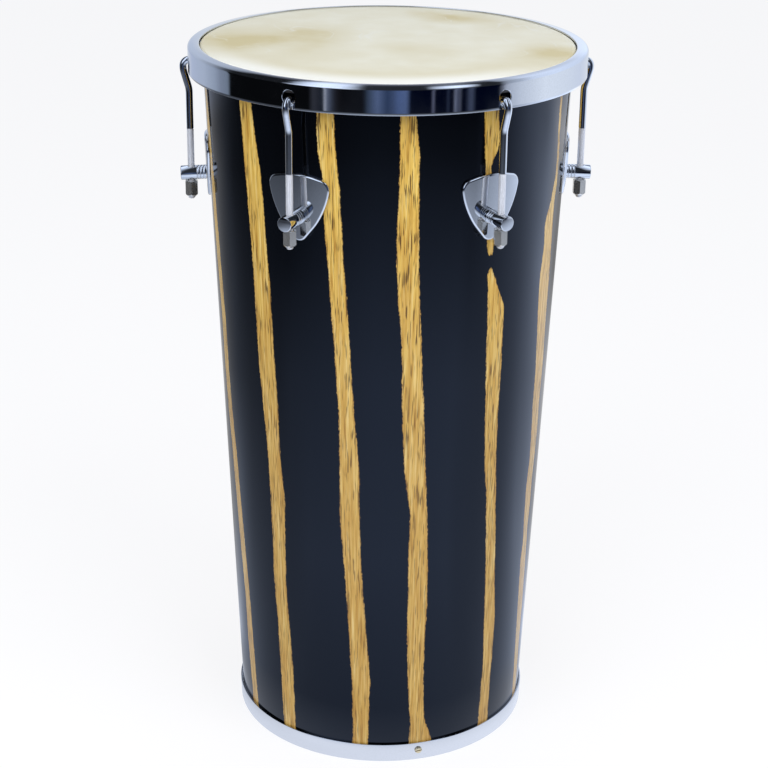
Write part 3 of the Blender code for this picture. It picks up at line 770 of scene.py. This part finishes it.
dark_fleck = calculate(tree, "MULTIPLY", rescale(tree, flecks, 0.555, 0.645), in_cluster)
many_above = rescale(tree, parts["Z"], 0.08, 0.40, 0.5, 0.85)
wood = mix(tree, calculate(tree, "MULTIPLY", dark_fleck, many_above), wood, paint(84, 58, 26))
burnt = rescale(tree, shaken, 0.1, 1.1, 0.6, 0)
wood = mix(tree, burnt, wood, paint(128, 88, 38))
print("nodes with the grain:", len(tree.nodes))

# %% [markdown]
# One clear gloss lies over lacquer and wood. It is smoothest on the lacquer, with a slow ripple that
# bends what it mirrors, and the wood lies a hair lower, so the edge of a stripe catches the light.

# %% Lacquer and clear gloss
black = (0.0010, 0.0012, 0.0017)
colour = mix(tree, is_wood, black, wood)
roughness = rescale(tree, is_wood, 0, 1, 0.07, 0.24)
ripple = noise(tree, unrolled, 55, 0.7, 1)
height = calculate(tree, "MULTIPLY_ADD", is_wood, -0.05, calculate(tree, "MULTIPLY", ripple, 0.06))
tilted = bump(tree, height, 0.35, 1)
shader = add(tree, "BsdfPrincipled", {
    "Base Color": colour, "Roughness": roughness, "Normal": tilted, "IOR": 1.45,
    "Specular Tint": (0.58, 0.70, 0.95),
})
close_material(tree, shader.outputs[0])

# %% [markdown]
# Inside, the shell is bare plywood. Its face veneer shows broad, soft grain that runs up the wall.

# %% Bare plywood
plywood, tree, place = new_material("bare_plywood")
growth = noise(tree, place, 70, 0.06, 4)
veneer = row_of_colours(tree, growth, [
    (0.3, paint(178, 138, 92)), (0.5, paint(205, 168, 120)), (0.7, paint(220, 187, 142)),
])
pores = rescale(tree, noise(tree, place, 900, 0.05, 1), 0.62, 0.72, 0, 0.45)
veneer = mix(tree, pores, veneer, paint(132, 96, 58))
tilted = bump(tree, growth, 0.3, 0.2)
shader = add(tree, "BsdfPrincipled", {"Base Color": veneer, "Roughness": 0.62, "Normal": tilted})
close_material(tree, shader.outputs[0])

# %% [markdown]
# ## Shell
# The shell is a wall with a rounded bearing edge, which the skin bends over, spun round the axis. Its
# outer wall is cut into many rows and columns, because the distance to the stripes is stored on its
# corners. Outer faces get the lacquer, the rest stays plywood.

# %% Turn the shell
head_radius = shell_radius(SHELL_HEAD_Z) / MM
under_edge = shell_radius(597.5 * MM) / MM
inner = shell_radius(598 * MM) / MM - 7
bm = turn(profile([
    (126.5, 1.5), (under_edge, 597.5), (head_radius, 601.5, 3, 6), (148.4, 601.5, 0.05, 1),
    (inner, 598), (119.5, 1.5),
], cuts=([0], 119)), 360)
for face in bm.faces:
    middle = face.calc_center_median()
    outwards = Vector((middle.x, middle.y, 0)).normalized()
    face.material_index = 0 if face.normal.dot(outwards) > 0.5 else 1
shell = put(bm, "shell_lacquered", "shell", "shell_body", [lacquer, plywood])
places = numpy.empty(len(shell.data.vertices) * 3)
shell.data.vertices.foreach_get("co", places)
bare = inside_stripes(places.reshape(-1, 3))
shell.data.attributes.new("bare", "FLOAT", "POINT").data.foreach_set("value", bare)
print("share of the wall that is bare:", round(float((bare > 0).mean()), 3))

# %% [markdown]
# ## Chrome
# Chrome plate mirrors the room with a slightly blue tint. It is never quite perfect: wiping leaves a
# haze that changes from place to place, so its roughness follows a soft noise. The foot band is less
# well polished than the hoop, with faint marks that run along the strip.

# %% Chrome of the hoop, rods and lugs
def plated(title, tint, smooth, hazy, scale, marks, metallic=1.0, upright=1):
    """Metal whose roughness lies between smooth and hazy, with fine marks of a given depth."""
    material, tree, place = new_material(title)
    haze = rescale(tree, noise(tree, place, scale, upright), 0.35, 0.68, smooth, hazy)
    fine = noise(tree, place, scale * 30, upright, 2)
    tilted = bump(tree, fine, marks, 0.02)
    darker = tuple(value * 0.93 for value in tint)
    shade = mix(tree, rescale(tree, fine, 0.4, 0.7), tint, darker)
    shader = add(tree, "BsdfPrincipled", {
        "Base Color": shade, "Metallic": metallic, "Roughness": haze, "Normal": tilted,
    })
    close_material(tree, shader.outputs[0])
    return material


chrome = plated("chrome_plate", (0.84, 0.855, 0.875), 0.03, 0.07, 40, 0.05)
cut_thread = plated("cut_thread", (0.90, 0.92, 0.98), 0.30, 0.42, 60, 0.1, 0.4)
satin = plated("satin_chrome", (0.93, 0.94, 0.95), 0.38, 0.46, 60, 0.1)
band_chrome = plated("foot_band_chrome", (0.71, 0.72, 0.74), 0.13, 0.20, 25, 0.15, upright=6)
zinc = plated("yellow_zinc", (0.72, 0.62, 0.42), 0.20, 0.34, 90, 0.3)
nickel = plated("nickel_plate", (0.85, 0.82, 0.76), 0.12, 0.22, 120, 0.3, 0.9)
ring_steel = plated("ring_steel", (0.42, 0.42, 0.44), 0.34, 0.48, 60, 0.4)

# %% [markdown]
# ## Foot band
# A steel strip is bent round the foot and folded in under the plywood, so that the wood never stands
# on the floor. Its section is an L with softened edges. The flat upper edge matters: seen in the
# lacquer just above it, it makes the dark line that runs round the foot.

# %% Turn the foot band
def band_face(height):
    """Radius in millimetres of the shell's face at a height in millimetres."""
    return shell_radius(height * MM) / MM


bm = profile([
    (119.5, 0, 0.3, 2), (band_face(1.5) + 2.1, 0, 1.2, 4), (band_face(17) + 2.1, 17, 0.45, 3),
    (band_face(17) + 0.3, 17), (band_face(1.5) + 0.3, 1.2), (119.5, 1.2, 0.3, 2),
])
put(turn(bm, 240), "foot_band_polished", "foot_band", "shell_body", [band_chrome])

# %% [markdown]
# ## Screws of the foot band
# Three screws hold the band. Each has a raised round head with one slot. The head is turned, and a
# thin block cuts the slot. Nobody lines slots up, so each screw is turned by its own amount.

# %% Turn and slot the screws
SCREW_HEIGHT = 10.1
SCREW_RADIUS = band_face(SCREW_HEIGHT) + 2.1
for number, (angle, slot_turn) in enumerate(zip(SCREW_ANGLES, (8, 57, 118)), 1):
    bm = turn(profile([
        (0, -6), (1.5, -4.5), (1.5, 0.3), (3.2, 0.3), (3.2, 1.7, 1.15, 6), (0, 1.7),
    ], closed=False), 40)
    slot = bmesh.new()
    bmesh.ops.create_cube(slot, size=1, matrix=Matrix.Diagonal((0.9 * MM, 9 * MM, 2 * MM, 1)))
    moved(slot, Matrix.Translation((0, 0, 1.9 * MM)))
    moved(slot, Matrix.Rotation(math.radians(slot_turn), 4, "Z"))
    screw = carve(bm, slot)
    moved(screw, place_radially(angle, SCREW_RADIUS * MM, SCREW_HEIGHT * MM, TILT))
    put(screw, f"slotted_screw_{number}", f"band_screw_{number}", "shell_body", [zinc])

# %% [markdown]
# ## Skin
# The head is a thin hide, scraped and dried. It is soaked, laid over the shell and tucked round the
# flesh hoop, and it shrinks tight as it dries. It is flat in the middle and leans softly down over
# the bearing edge. The hide is cream, with cloudy tan patches, a few pale creases and fine pores.

# %% Clouds of the hide
HEAD_CLOUDS = [
    (-0.085, 0.020, 0.080, 0.75), (-0.065, -0.045, 0.050, 0.35), (0.062, 0.103, 0.050, 0.85),
    (0.125, -0.040, 0.050, 0.70), (0.020, -0.036, 0.055, 0.40), (-0.125, 0.000, 0.040, 0.50),
    (0.100, 0.060, 0.040, 0.25),
]
rawhide, tree, place = new_material("rawhide")
wander = add(tree, "TexNoise", {"Vector": place, "Scale": 14, "Detail": 3}).outputs["Color"]
push = vector(tree, "SUBTRACT", wander, (0.5, 0.5, 0.5))
drifted = vector(tree, "MULTIPLY_ADD", push, (0.09, 0.09, 0), place)
tan = 0.0
for across, along, reach, strength in HEAD_CLOUDS:
    away = vector(tree, "DISTANCE", drifted, (across, along, HEAD_Z))
    cloud = rescale(tree, away, 0, reach, strength, 0, smooth=True)
    tan = calculate(tree, "ADD", tan, cloud)
mottle = noise(tree, place, 38, detail=5)
tan = calculate(tree, "MULTIPLY", tan, rescale(tree, mottle, 0.25, 0.65, 0.55, 1.25))
out = add(tree, "SeparateXYZ", {0: place}).outputs
radius = vector(tree, "LENGTH", vector(tree, "MULTIPLY", place, (1, 1, 0)))
forward = calculate(tree, "MULTIPLY", out["Y"], -0.97)
towards_front = calculate(tree, "MULTIPLY_ADD", out["X"], -0.26, forward)
ring = rescale(tree, radius, 0.080, 0.135, 0, 0.42, smooth=True)
ring = calculate(tree, "MULTIPLY", ring, rescale(tree, towards_front, -0.03, 0.03, 0.15, 1))
tan = calculate(tree, "ADD", tan, ring)
hide = mix(tree, rescale(tree, mottle, 0.3, 0.7), paint(233, 229, 207), paint(239, 237, 220))
hide = mix(tree, calculate(tree, "MINIMUM", tan, 1), hide, paint(213, 200, 152))
print("nodes for the clouds:", len(tree.nodes))

# %% [markdown]
# The creases are where a slow noise crosses its middle value, which draws thin wandering lines. In
# front the rim is painted paler, a painted highlight where the hide bends over the bearing edge and
# catches the lamps' light. The tucked edge is painted dark, a painted shade in the narrow gap under
# the hoop, and a fine noise makes the pores.

# %% Creases, painted highlight on the rim, painted shade in the tuck, and pores
veins = noise(tree, drifted, 16, detail=2, shift=(3, 3, 0), depth=0.35)
crease = calculate(tree, "ABSOLUTE", calculate(tree, "SUBTRACT", veins, 0.5))
crease = rescale(tree, crease, 0, 0.012, 0.5, 0)
here_and_there = rescale(tree, noise(tree, place, 22, shift=(5, 0, 0)), 0.5, 0.62)
crease = calculate(tree, "MULTIPLY", crease, here_and_there)
hide = mix(tree, crease, hide, paint(240, 240, 232))
# Painted highlight: the rim is painted paler in front, where the hide bends over the bearing edge and
# catches the lamps' light.
rim = rescale(tree, radius, 0.118, 0.146, smooth=True)
front = rescale(tree, towards_front, 0.045, 0.125, smooth=True)
hide = mix(tree, calculate(tree, "MULTIPLY", rim, front), hide, paint(252, 252, 244))
# Painted shade: below the hoop's lip the tucked hide is painted dark brown, for the shade in the narrow
# gap between hoop and shell.
tuck_painted_shade = rescale(tree, out["Z"], 0.5970, 0.5955)
hide = mix(tree, tuck_painted_shade, hide, paint(46, 36, 26))
pores = noise(tree, place, 1500, detail=1)
uneven = calculate(tree, "MULTIPLY", mottle, 0.9)
height = calculate(tree, "ADD", calculate(tree, "MULTIPLY", pores, 0.4), uneven)
tilted = bump(tree, height, 0.25, 0.2)
shader = add(tree, "BsdfPrincipled", {
    "Base Color": hide, "Roughness": 0.42, "Normal": tilted, "IOR": 1.45,
})
close_material(tree, shader.outputs[0])

# %% [markdown]
# The skin's section runs from its middle, over the bearing edge, down the collar and round the flesh
# hoop. Such a section is easiest to draw as with a pencil, so `line` and `sweep` carry its last point
# on, straight or round a centre.

# %% Helpers for drawing a section
def points_in(found):
    """Only the points of what a bmesh operator gives back."""
    return [item for item in found if isinstance(item, bmesh.types.BMVert)]


def edges_in(found):
    """Only the edges of what a bmesh operator gives back."""
    return [item for item in found if isinstance(item, bmesh.types.BMEdge)]


def sweep(bm, start, centre, degrees, steps):
    """Carry the last point of a profile round a centre, as a string draws an arc."""
    arc = bmesh.ops.spin(bm, geom=[start], cent=(centre[0] * MM, 0, centre[1] * MM), axis=(0, -1, 0),
                         dvec=(0, 0, 0), angle=math.radians(degrees), steps=steps)
    return points_in(arc["geom_last"])[0]


def line(bm, start, radius, height):
    """Carry the last point of a profile straight to a new place."""
    end = bm.verts.new((radius * MM, 0, height * MM))
    bm.edges.new((start, end))
    return end


print("drawing helpers ready")

# %% [markdown]
# The tuck is a ring of wall round the hoop, open where the hide's cut edge ends. The pencil goes round
# it twice, first close to the wire and then back outside, and returns to the middle under the skin.

# %% Turn the skin
WIRE_MIDDLE = (156.3, 596.4)
TUCK = 290
TUCK_RADIUS = 4.5
bm = bmesh.new()
point = bm.verts.new((0, 0, HEAD_Z))
for radius, height in [(60, 603), (112, 603), (126, 602.94), (138, 602.78), (150.3, 602.5)]:
    point = line(bm, point, radius, height)
point = sweep(bm, point, (150.3, 599.5), -90, 8)
point = line(bm, point, 153, WIRE_MIDDLE[1])
point = sweep(bm, point, WIRE_MIDDLE, TUCK, 40)
cut_edge = math.radians(TUCK - 180)
point = line(bm, point, WIRE_MIDDLE[0] + TUCK_RADIUS * math.cos(cut_edge),
             WIRE_MIDDLE[1] + TUCK_RADIUS * math.sin(cut_edge))
point = sweep(bm, point, WIRE_MIDDLE, -TUCK, 40)
point = line(bm, point, 151.8, 598.5)
point = sweep(bm, point, (148.5, 598.5), 90, 7)
point = line(bm, point, 120, 601.8)
point = line(bm, point, 0, 601.8)
put(turn(bm, 240), "skin_rawhide", "skin_head", "head_assembly", [rawhide], 40)

# %% [markdown]
# ## Flesh hoop
# A plain round steel ring hides inside the tuck. The counter-hoop pushes it down, and it drags the
# skin with it.

# %% Bend the flesh hoop
bm = bmesh.new()
upright = Matrix.Translation((WIRE_MIDDLE[0] * MM, 0, WIRE_MIDDLE[1] * MM))
upright = upright @ Matrix.Rotation(math.pi / 2, 4, "X")
bmesh.ops.create_circle(bm, segments=24, radius=3 * MM, matrix=upright)
put(turn(bm, 180), "flesh_hoop_ring", "flesh_hoop", "head_assembly", [ring_steel])

# %% [markdown]
# ## Counter-hoop
# The hoop is rolled from steel strip: an upright wall, turned in at the top to a lip that rests over
# the flesh hoop. Its edges are rounded by the rolling, and each rounding draws one thin bright line
# along the hoop. The wall is drilled at each rod, and the drill's burr is broken off, which leaves
# the bright ring round every hole.

# %% Turn and drill the counter-hoop
HOLE_RADIUS = 5.4
HOOP_WALL = 1.8
bm = turn(profile([
    (163, 583), (163, 599), (163, 601.9, 1.9, 8), (157.5, 602.9, 3.2, 8), (153.6, 603, 0.25, 3),
    (153.6, 601.2, 0.25, 2), (161.2, 600.9), (161.2, 599), (161.2, 583), (161.2, 581, 0.25, 2),
    (163, 581, 0.25, 3),
], cuts=([0, 7], 6)), 360)
drills = bmesh.new()
for angle in LUG_ANGLES:
    one = drill(HOLE_RADIUS, -HOOP_WALL, 0, 1.0, place_radially(angle, HOOP_RADIUS, HOLE_Z, 0))
    mesh = as_mesh(one, "drill")
    drills.from_mesh(mesh)
    bpy.data.meshes.remove(mesh)
put(carve(bm, drills), "counter_hoop_drilled", "counter_hoop", "head_assembly", [chrome])

# %% [markdown]
# ## Tension rods
# A rod is bent from one steel bar. From its tip up it is threaded, then smooth; under the hoop it
# swings outwards, goes up past the hoop's wall and hooks back through the hole. Where the swing has to
# start follows from its radius and its lean.

# %% Sizes of the bend
THREAD_TOP_Z = 531 * MM
OUTER_LEG = 167.1 * MM
HOOK_CENTRE = (162.1 * MM, 0, 583.04 * MM)
HOOK_END_Z = 580.04 * MM
BEND_RADIUS = 20 * MM
LEAN = math.radians(15.5)
sway = OUTER_LEG - ROD_LINE
slope = (sway - 2 * BEND_RADIUS * (1 - math.cos(LEAN))) / math.sin(LEAN)
rise = 2 * BEND_RADIUS * math.sin(LEAN) + slope * math.cos(LEAN)
SWAY_FOOT_Z = HOOK_CENTRE[2] - rise
CHAMFER = 0.6 * MM
print("the rod leans out by", round(sway / MM, 2), "mm over", round(rise / MM, 1), "mm")

# %% [markdown]
# The bar is a circle that is carried along: straight, round a centre, straight again. It starts where
# the thread ends and goes up to the hook, and then from the same place down to the tip. Both of its
# ends are a little smaller, as a chamfer makes them.

# %% Bend the bar
def extrude_ring(bm, ring, move, scale=1.0):
    """Carry a ring of edges straight on, and make it larger or smaller."""
    new = bmesh.ops.extrude_edge_only(bm, edges=ring)["geom"]
    verts = points_in(new)
    bmesh.ops.translate(bm, verts=verts, vec=move)
    middle = sum((vert.co for vert in verts), Vector()) / len(verts)
    bmesh.ops.scale(bm, verts=verts, vec=(scale, scale, scale), space=Matrix.Translation(-middle))
    return [edge for edge in edges_in(new) if all(vert in verts for vert in edge.verts)]


def bend_ring(bm, ring, centre, axis_y, angle, steps):
    """Carry a ring of edges round a centre."""
    spun = bmesh.ops.spin(bm, geom=ring, cent=centre, axis=(0, axis_y, 0), dvec=(0, 0, 0), angle=angle,
                          steps=steps)
    return edges_in(spun["geom_last"])


bm = bmesh.new()
bmesh.ops.create_circle(bm, segments=32, radius=ROD_RADIUS,
                        matrix=Matrix.Translation((ROD_LINE, 0, THREAD_TOP_Z)))
start = bm.edges[:]
ring = extrude_ring(bm, start, (0, 0, SWAY_FOOT_Z - THREAD_TOP_Z))
ring = bend_ring(bm, ring, (ROD_LINE + BEND_RADIUS, 0, SWAY_FOOT_Z), 1, LEAN, 6)
ring = extrude_ring(bm, ring, (slope * math.sin(LEAN), 0, slope * math.cos(LEAN)))
ring = bend_ring(bm, ring, (OUTER_LEG - BEND_RADIUS, 0, HOOK_CENTRE[2]), -1, LEAN, 6)
ring = bend_ring(bm, ring, HOOK_CENTRE, -1, math.pi, 20)
ring = extrude_ring(bm, ring, (0, 0, HOOK_END_Z + 0.5 * MM - HOOK_CENTRE[2]))
ring = extrude_ring(bm, ring, (0, 0, -0.5 * MM), 0.84)
ring = extrude_ring(bm, start, (0, 0, -CHAMFER), 0.81)
ring = extrude_ring(bm, ring, (0, 0, ROD_TIP_Z + CHAMFER - THREAD_TOP_Z + CHAMFER))
ring = extrude_ring(bm, ring, (0, 0, -CHAMFER), 0.8)
print("bar of", len(bm.faces), "faces")

# %% [markdown]
# The thread is a ridge carried round the bar while it climbs by one pitch a turn, which is a spin that
# also moves along its axis. It is cut through the plating, so it is satin and paler than the bright
# bar above it.

# %% Wind the thread
PITCH = 1 * MM
STEPS = 24
ridge_foot = ROD_TIP_Z + 0.9 * MM
turns = int((THREAD_TOP_Z - CHAMFER - ridge_foot) / PITCH)
section = [(2.2, -0.55), (2.66, -0.46), (2.89, -0.10), (2.89, 0.10), (2.66, 0.46), (2.2, 0.55)]
corners = [bm.verts.new((ROD_LINE + radius * MM, 0, ridge_foot + height * MM))
           for radius, height in section]
loop = [bm.edges.new(pair) for pair in zip(corners, corners[1:] + corners[:1])]
bmesh.ops.spin(bm, geom=corners + loop, cent=(ROD_LINE, 0, 0), axis=(0, 0, 1),
               dvec=(0, 0, PITCH / STEPS), angle=turns * math.tau, steps=turns * STEPS)
bmesh.ops.holes_fill(bm, edges=bm.edges)
face_outwards(bm)
for face in bm.faces:
    face.material_index = 1 if face.calc_center_median().z < THREAD_TOP_Z - 0.3 * MM else 0
print("thread turns:", turns)
put_round(bm, "hooked_rod", "tension_rod", "head_assembly", [chrome, cut_thread])

# %% [markdown]
# ## Tension nuts
# A tall hexagon nut under each post is turned with a key to tune the drum. Its ends are chamfered on
# a lathe, more at the foot, where the key is put on: the cone of the chamfer cuts the six flats in
# shallow arcs. So the hexagon is kept only where it lies inside a turned barrel, and then bored.
# The nickel on it is warmer and duller than chrome, because keys rub it.

# %% Cut the nuts
NUT_FOOT_Z = 473.8
NUT_HEIGHT = 13
NUT_CORNER = 5.7735
BORE_RADIUS = 3.2
hexagon = bmesh.new()
bmesh.ops.create_cone(
    hexagon, cap_ends=True, segments=6, radius1=NUT_CORNER * MM, radius2=NUT_CORNER * MM,
    depth=NUT_HEIGHT * MM, matrix=Matrix.Translation((0, 0, NUT_HEIGHT / 2 * MM)),
)
barrel = turn(profile([
    (0, 0), (4.3, 0), (6.4, 2.4), (6.4, 12.02), (4.7, NUT_HEIGHT), (0, NUT_HEIGHT),
], closed=False), 72)
nut = carve(hexagon, barrel, "INTERSECT")
nut = carve(nut, drill(BORE_RADIUS, 0, NUT_HEIGHT, 0.5, Matrix.Identity(4)))
moved(nut, Matrix.Translation((ROD_LINE, 0, NUT_FOOT_Z * MM)))
put_round(nut, "tuning_nut", "tension_nut", "nut_{}", [nickel])

# %% [markdown]
# ## Posts
# Each post is a short round bar that stands out of its plate. The rod runs through a cross bore near
# its nose. Three shallow grooves are turned into it near the plate. Their slopes are satin, so that
# each one is a pale ring on the dark mirror.

# %% Turn, groove and bore the posts
CROSSING = (ROD_LINE - LUG_RADIUS) / math.cos(TILT) / MM
NOSE = CROSSING + 8.6
ROOT = 3.0
POST_RADIUS = 6
GROOVE_PITCH = 2.6
points = [(0, ROOT), (POST_RADIUS - 0.3, ROOT), (POST_RADIUS, ROOT + 0.3)]
groove_middle = (ROOT + CROSSING - BORE_RADIUS) / 2
for step in (-1, 0, 1):
    along = groove_middle + GROOVE_PITCH * step
    points += [(POST_RADIUS, along - 0.65), (POST_RADIUS - 0.45, along + 0.55),
               (POST_RADIUS, along + 0.65)]
points += [(POST_RADIUS, NOSE, 0.6, 4), (0, NOSE)]
post = turn(profile(points, closed=False), 64)
upright = Matrix.Translation((0, 0, CROSSING * MM)) @ Matrix.Rotation(-math.pi / 2 - TILT, 4, "Y")
post = carve(post, drill(BORE_RADIUS, -7, 7, 0.4, upright))
for face in post.faces:
    middle = face.calc_center_median() / MM
    in_groove = 5.5 < math.hypot(middle.x, middle.y) < 5.97 and abs(middle.z - groove_middle) < 3.5
    face.material_index = 1 if in_groove and 0.1 < face.normal.z < 0.9 else 0
print("satin faces:", sum(face.material_index for face in post.faces))
moved(post, LUG_PLACE)
put_round(post, "grooved_post", "lug_post", "shell_body", [chrome, satin])

# %% [markdown]
# ## Lug plates
# Each post stands on a plate shaped like a plectrum, bent to the shell. Its outline is six corners,
# each rounded by its own amount. The face is raised by its thickness, and the rim is rounded over.
# A narrow flat ring inside the rim keeps the mirror flat, and many thin cuts let it bend smoothly.

# %% Shape and bend the plates
PLATE_BACK = (LUG_RADIUS / math.cos(math.pi / 60) + GAP) / MM
THICKNESS = 2.2 * MM
RIM_ROUNDING = 1.5 * MM
FLAT_RING = 0.25 * MM
OUTLINE = [
    (0, 36, 14.2, 10), (27.5, 29.5, 7.5, 10), (23, 4, 15.7, 8),
    (0, -24, 9.1, 12), (-23, 4, 15.7, 8), (-27.5, 29.5, 7.5, 10),
]
bm = bmesh.new()
corners = [bm.verts.new((-up * MM, across * MM, 0)) for across, up, reach, segments in OUTLINE]
bm.faces.new(corners)
for corner, (across, up, reach, segments) in zip(corners, OUTLINE):
    ease(bm, corner, reach, segments)
raised = bmesh.ops.extrude_face_region(bm, geom=bm.faces[:], use_keep_orig=True)["geom"]
bmesh.ops.translate(bm, verts=points_in(raised), vec=(0, 0, THICKNESS))
face_outwards(bm)
rim = [edge for edge in bm.edges if all(vert.co.z > 0.95 * THICKNESS for vert in edge.verts)]
bmesh.ops.bevel(bm, geom=rim, offset=RIM_ROUNDING, offset_type="OFFSET", segments=7, profile=0.5,
                affect="EDGES", material=-1)
front = [face for face in bm.faces if face.calc_center_median().z > 0.995 * THICKNESS]
bmesh.ops.inset_region(bm, faces=front, thickness=FLAT_RING, depth=0)
for cut in range(-26, 27, 2):
    bmesh.ops.bisect_plane(bm, geom=bm.verts[:] + bm.edges[:] + bm.faces[:], dist=0.0001 * MM,
                           plane_co=(0, cut * MM, 0), plane_no=(0, 1, 0))
for vert in bm.verts:
    around = vert.co.y / (PLATE_BACK * MM)
    reach = PLATE_BACK * MM + vert.co.z
    vert.co.y = reach * math.sin(around)
    vert.co.z = reach * math.cos(around) - LUG_RADIUS
moved(face_outwards(bm), LUG_PLACE)
put_round(bm, "curved_plate", "lug_plate", "shell_body", [chrome])

# %% [markdown]
# ## Bolts and washers
# From inside the shell, a bolt with a domed head and a hexagon socket runs through a washer and the
# wood into each post. Bolt and washer are turned, and a six-sided block cuts the socket.

# %% Turn the bolts and washers
BOLT_TOP = -12.39
HEAD_FOOT = -8.79
SOCKET_CORNER = 2.31
bolt = turn(profile([
    (0, BOLT_TOP), (5, BOLT_TOP, 1.8, 6), (5, HEAD_FOOT, 0.2, 1), (3, HEAD_FOOT), (3, 9), (0, 9),
], closed=False), 48)
socket = bmesh.new()
bmesh.ops.create_cone(
    socket, cap_ends=True, segments=6, radius1=SOCKET_CORNER * MM, radius2=SOCKET_CORNER * MM,
    depth=4.4 * MM, matrix=Matrix.Translation((0, 0, BOLT_TOP * MM)),
)
bolt = carve(bolt, socket)
moved(bolt, LUG_PLACE)
put_round(bolt, "socket_bolt", "lug_bolt", "shell_body", [zinc])

washer = turn(profile([(3.3, -7.29), (7, -7.29), (7, -8.49, 0.3, 2), (3.3, -8.49, 0.2, 1)]), 48)
moved(washer, LUG_PLACE)
put_round(washer, "pressed_washer", "lug_washer", "shell_body", [zinc])
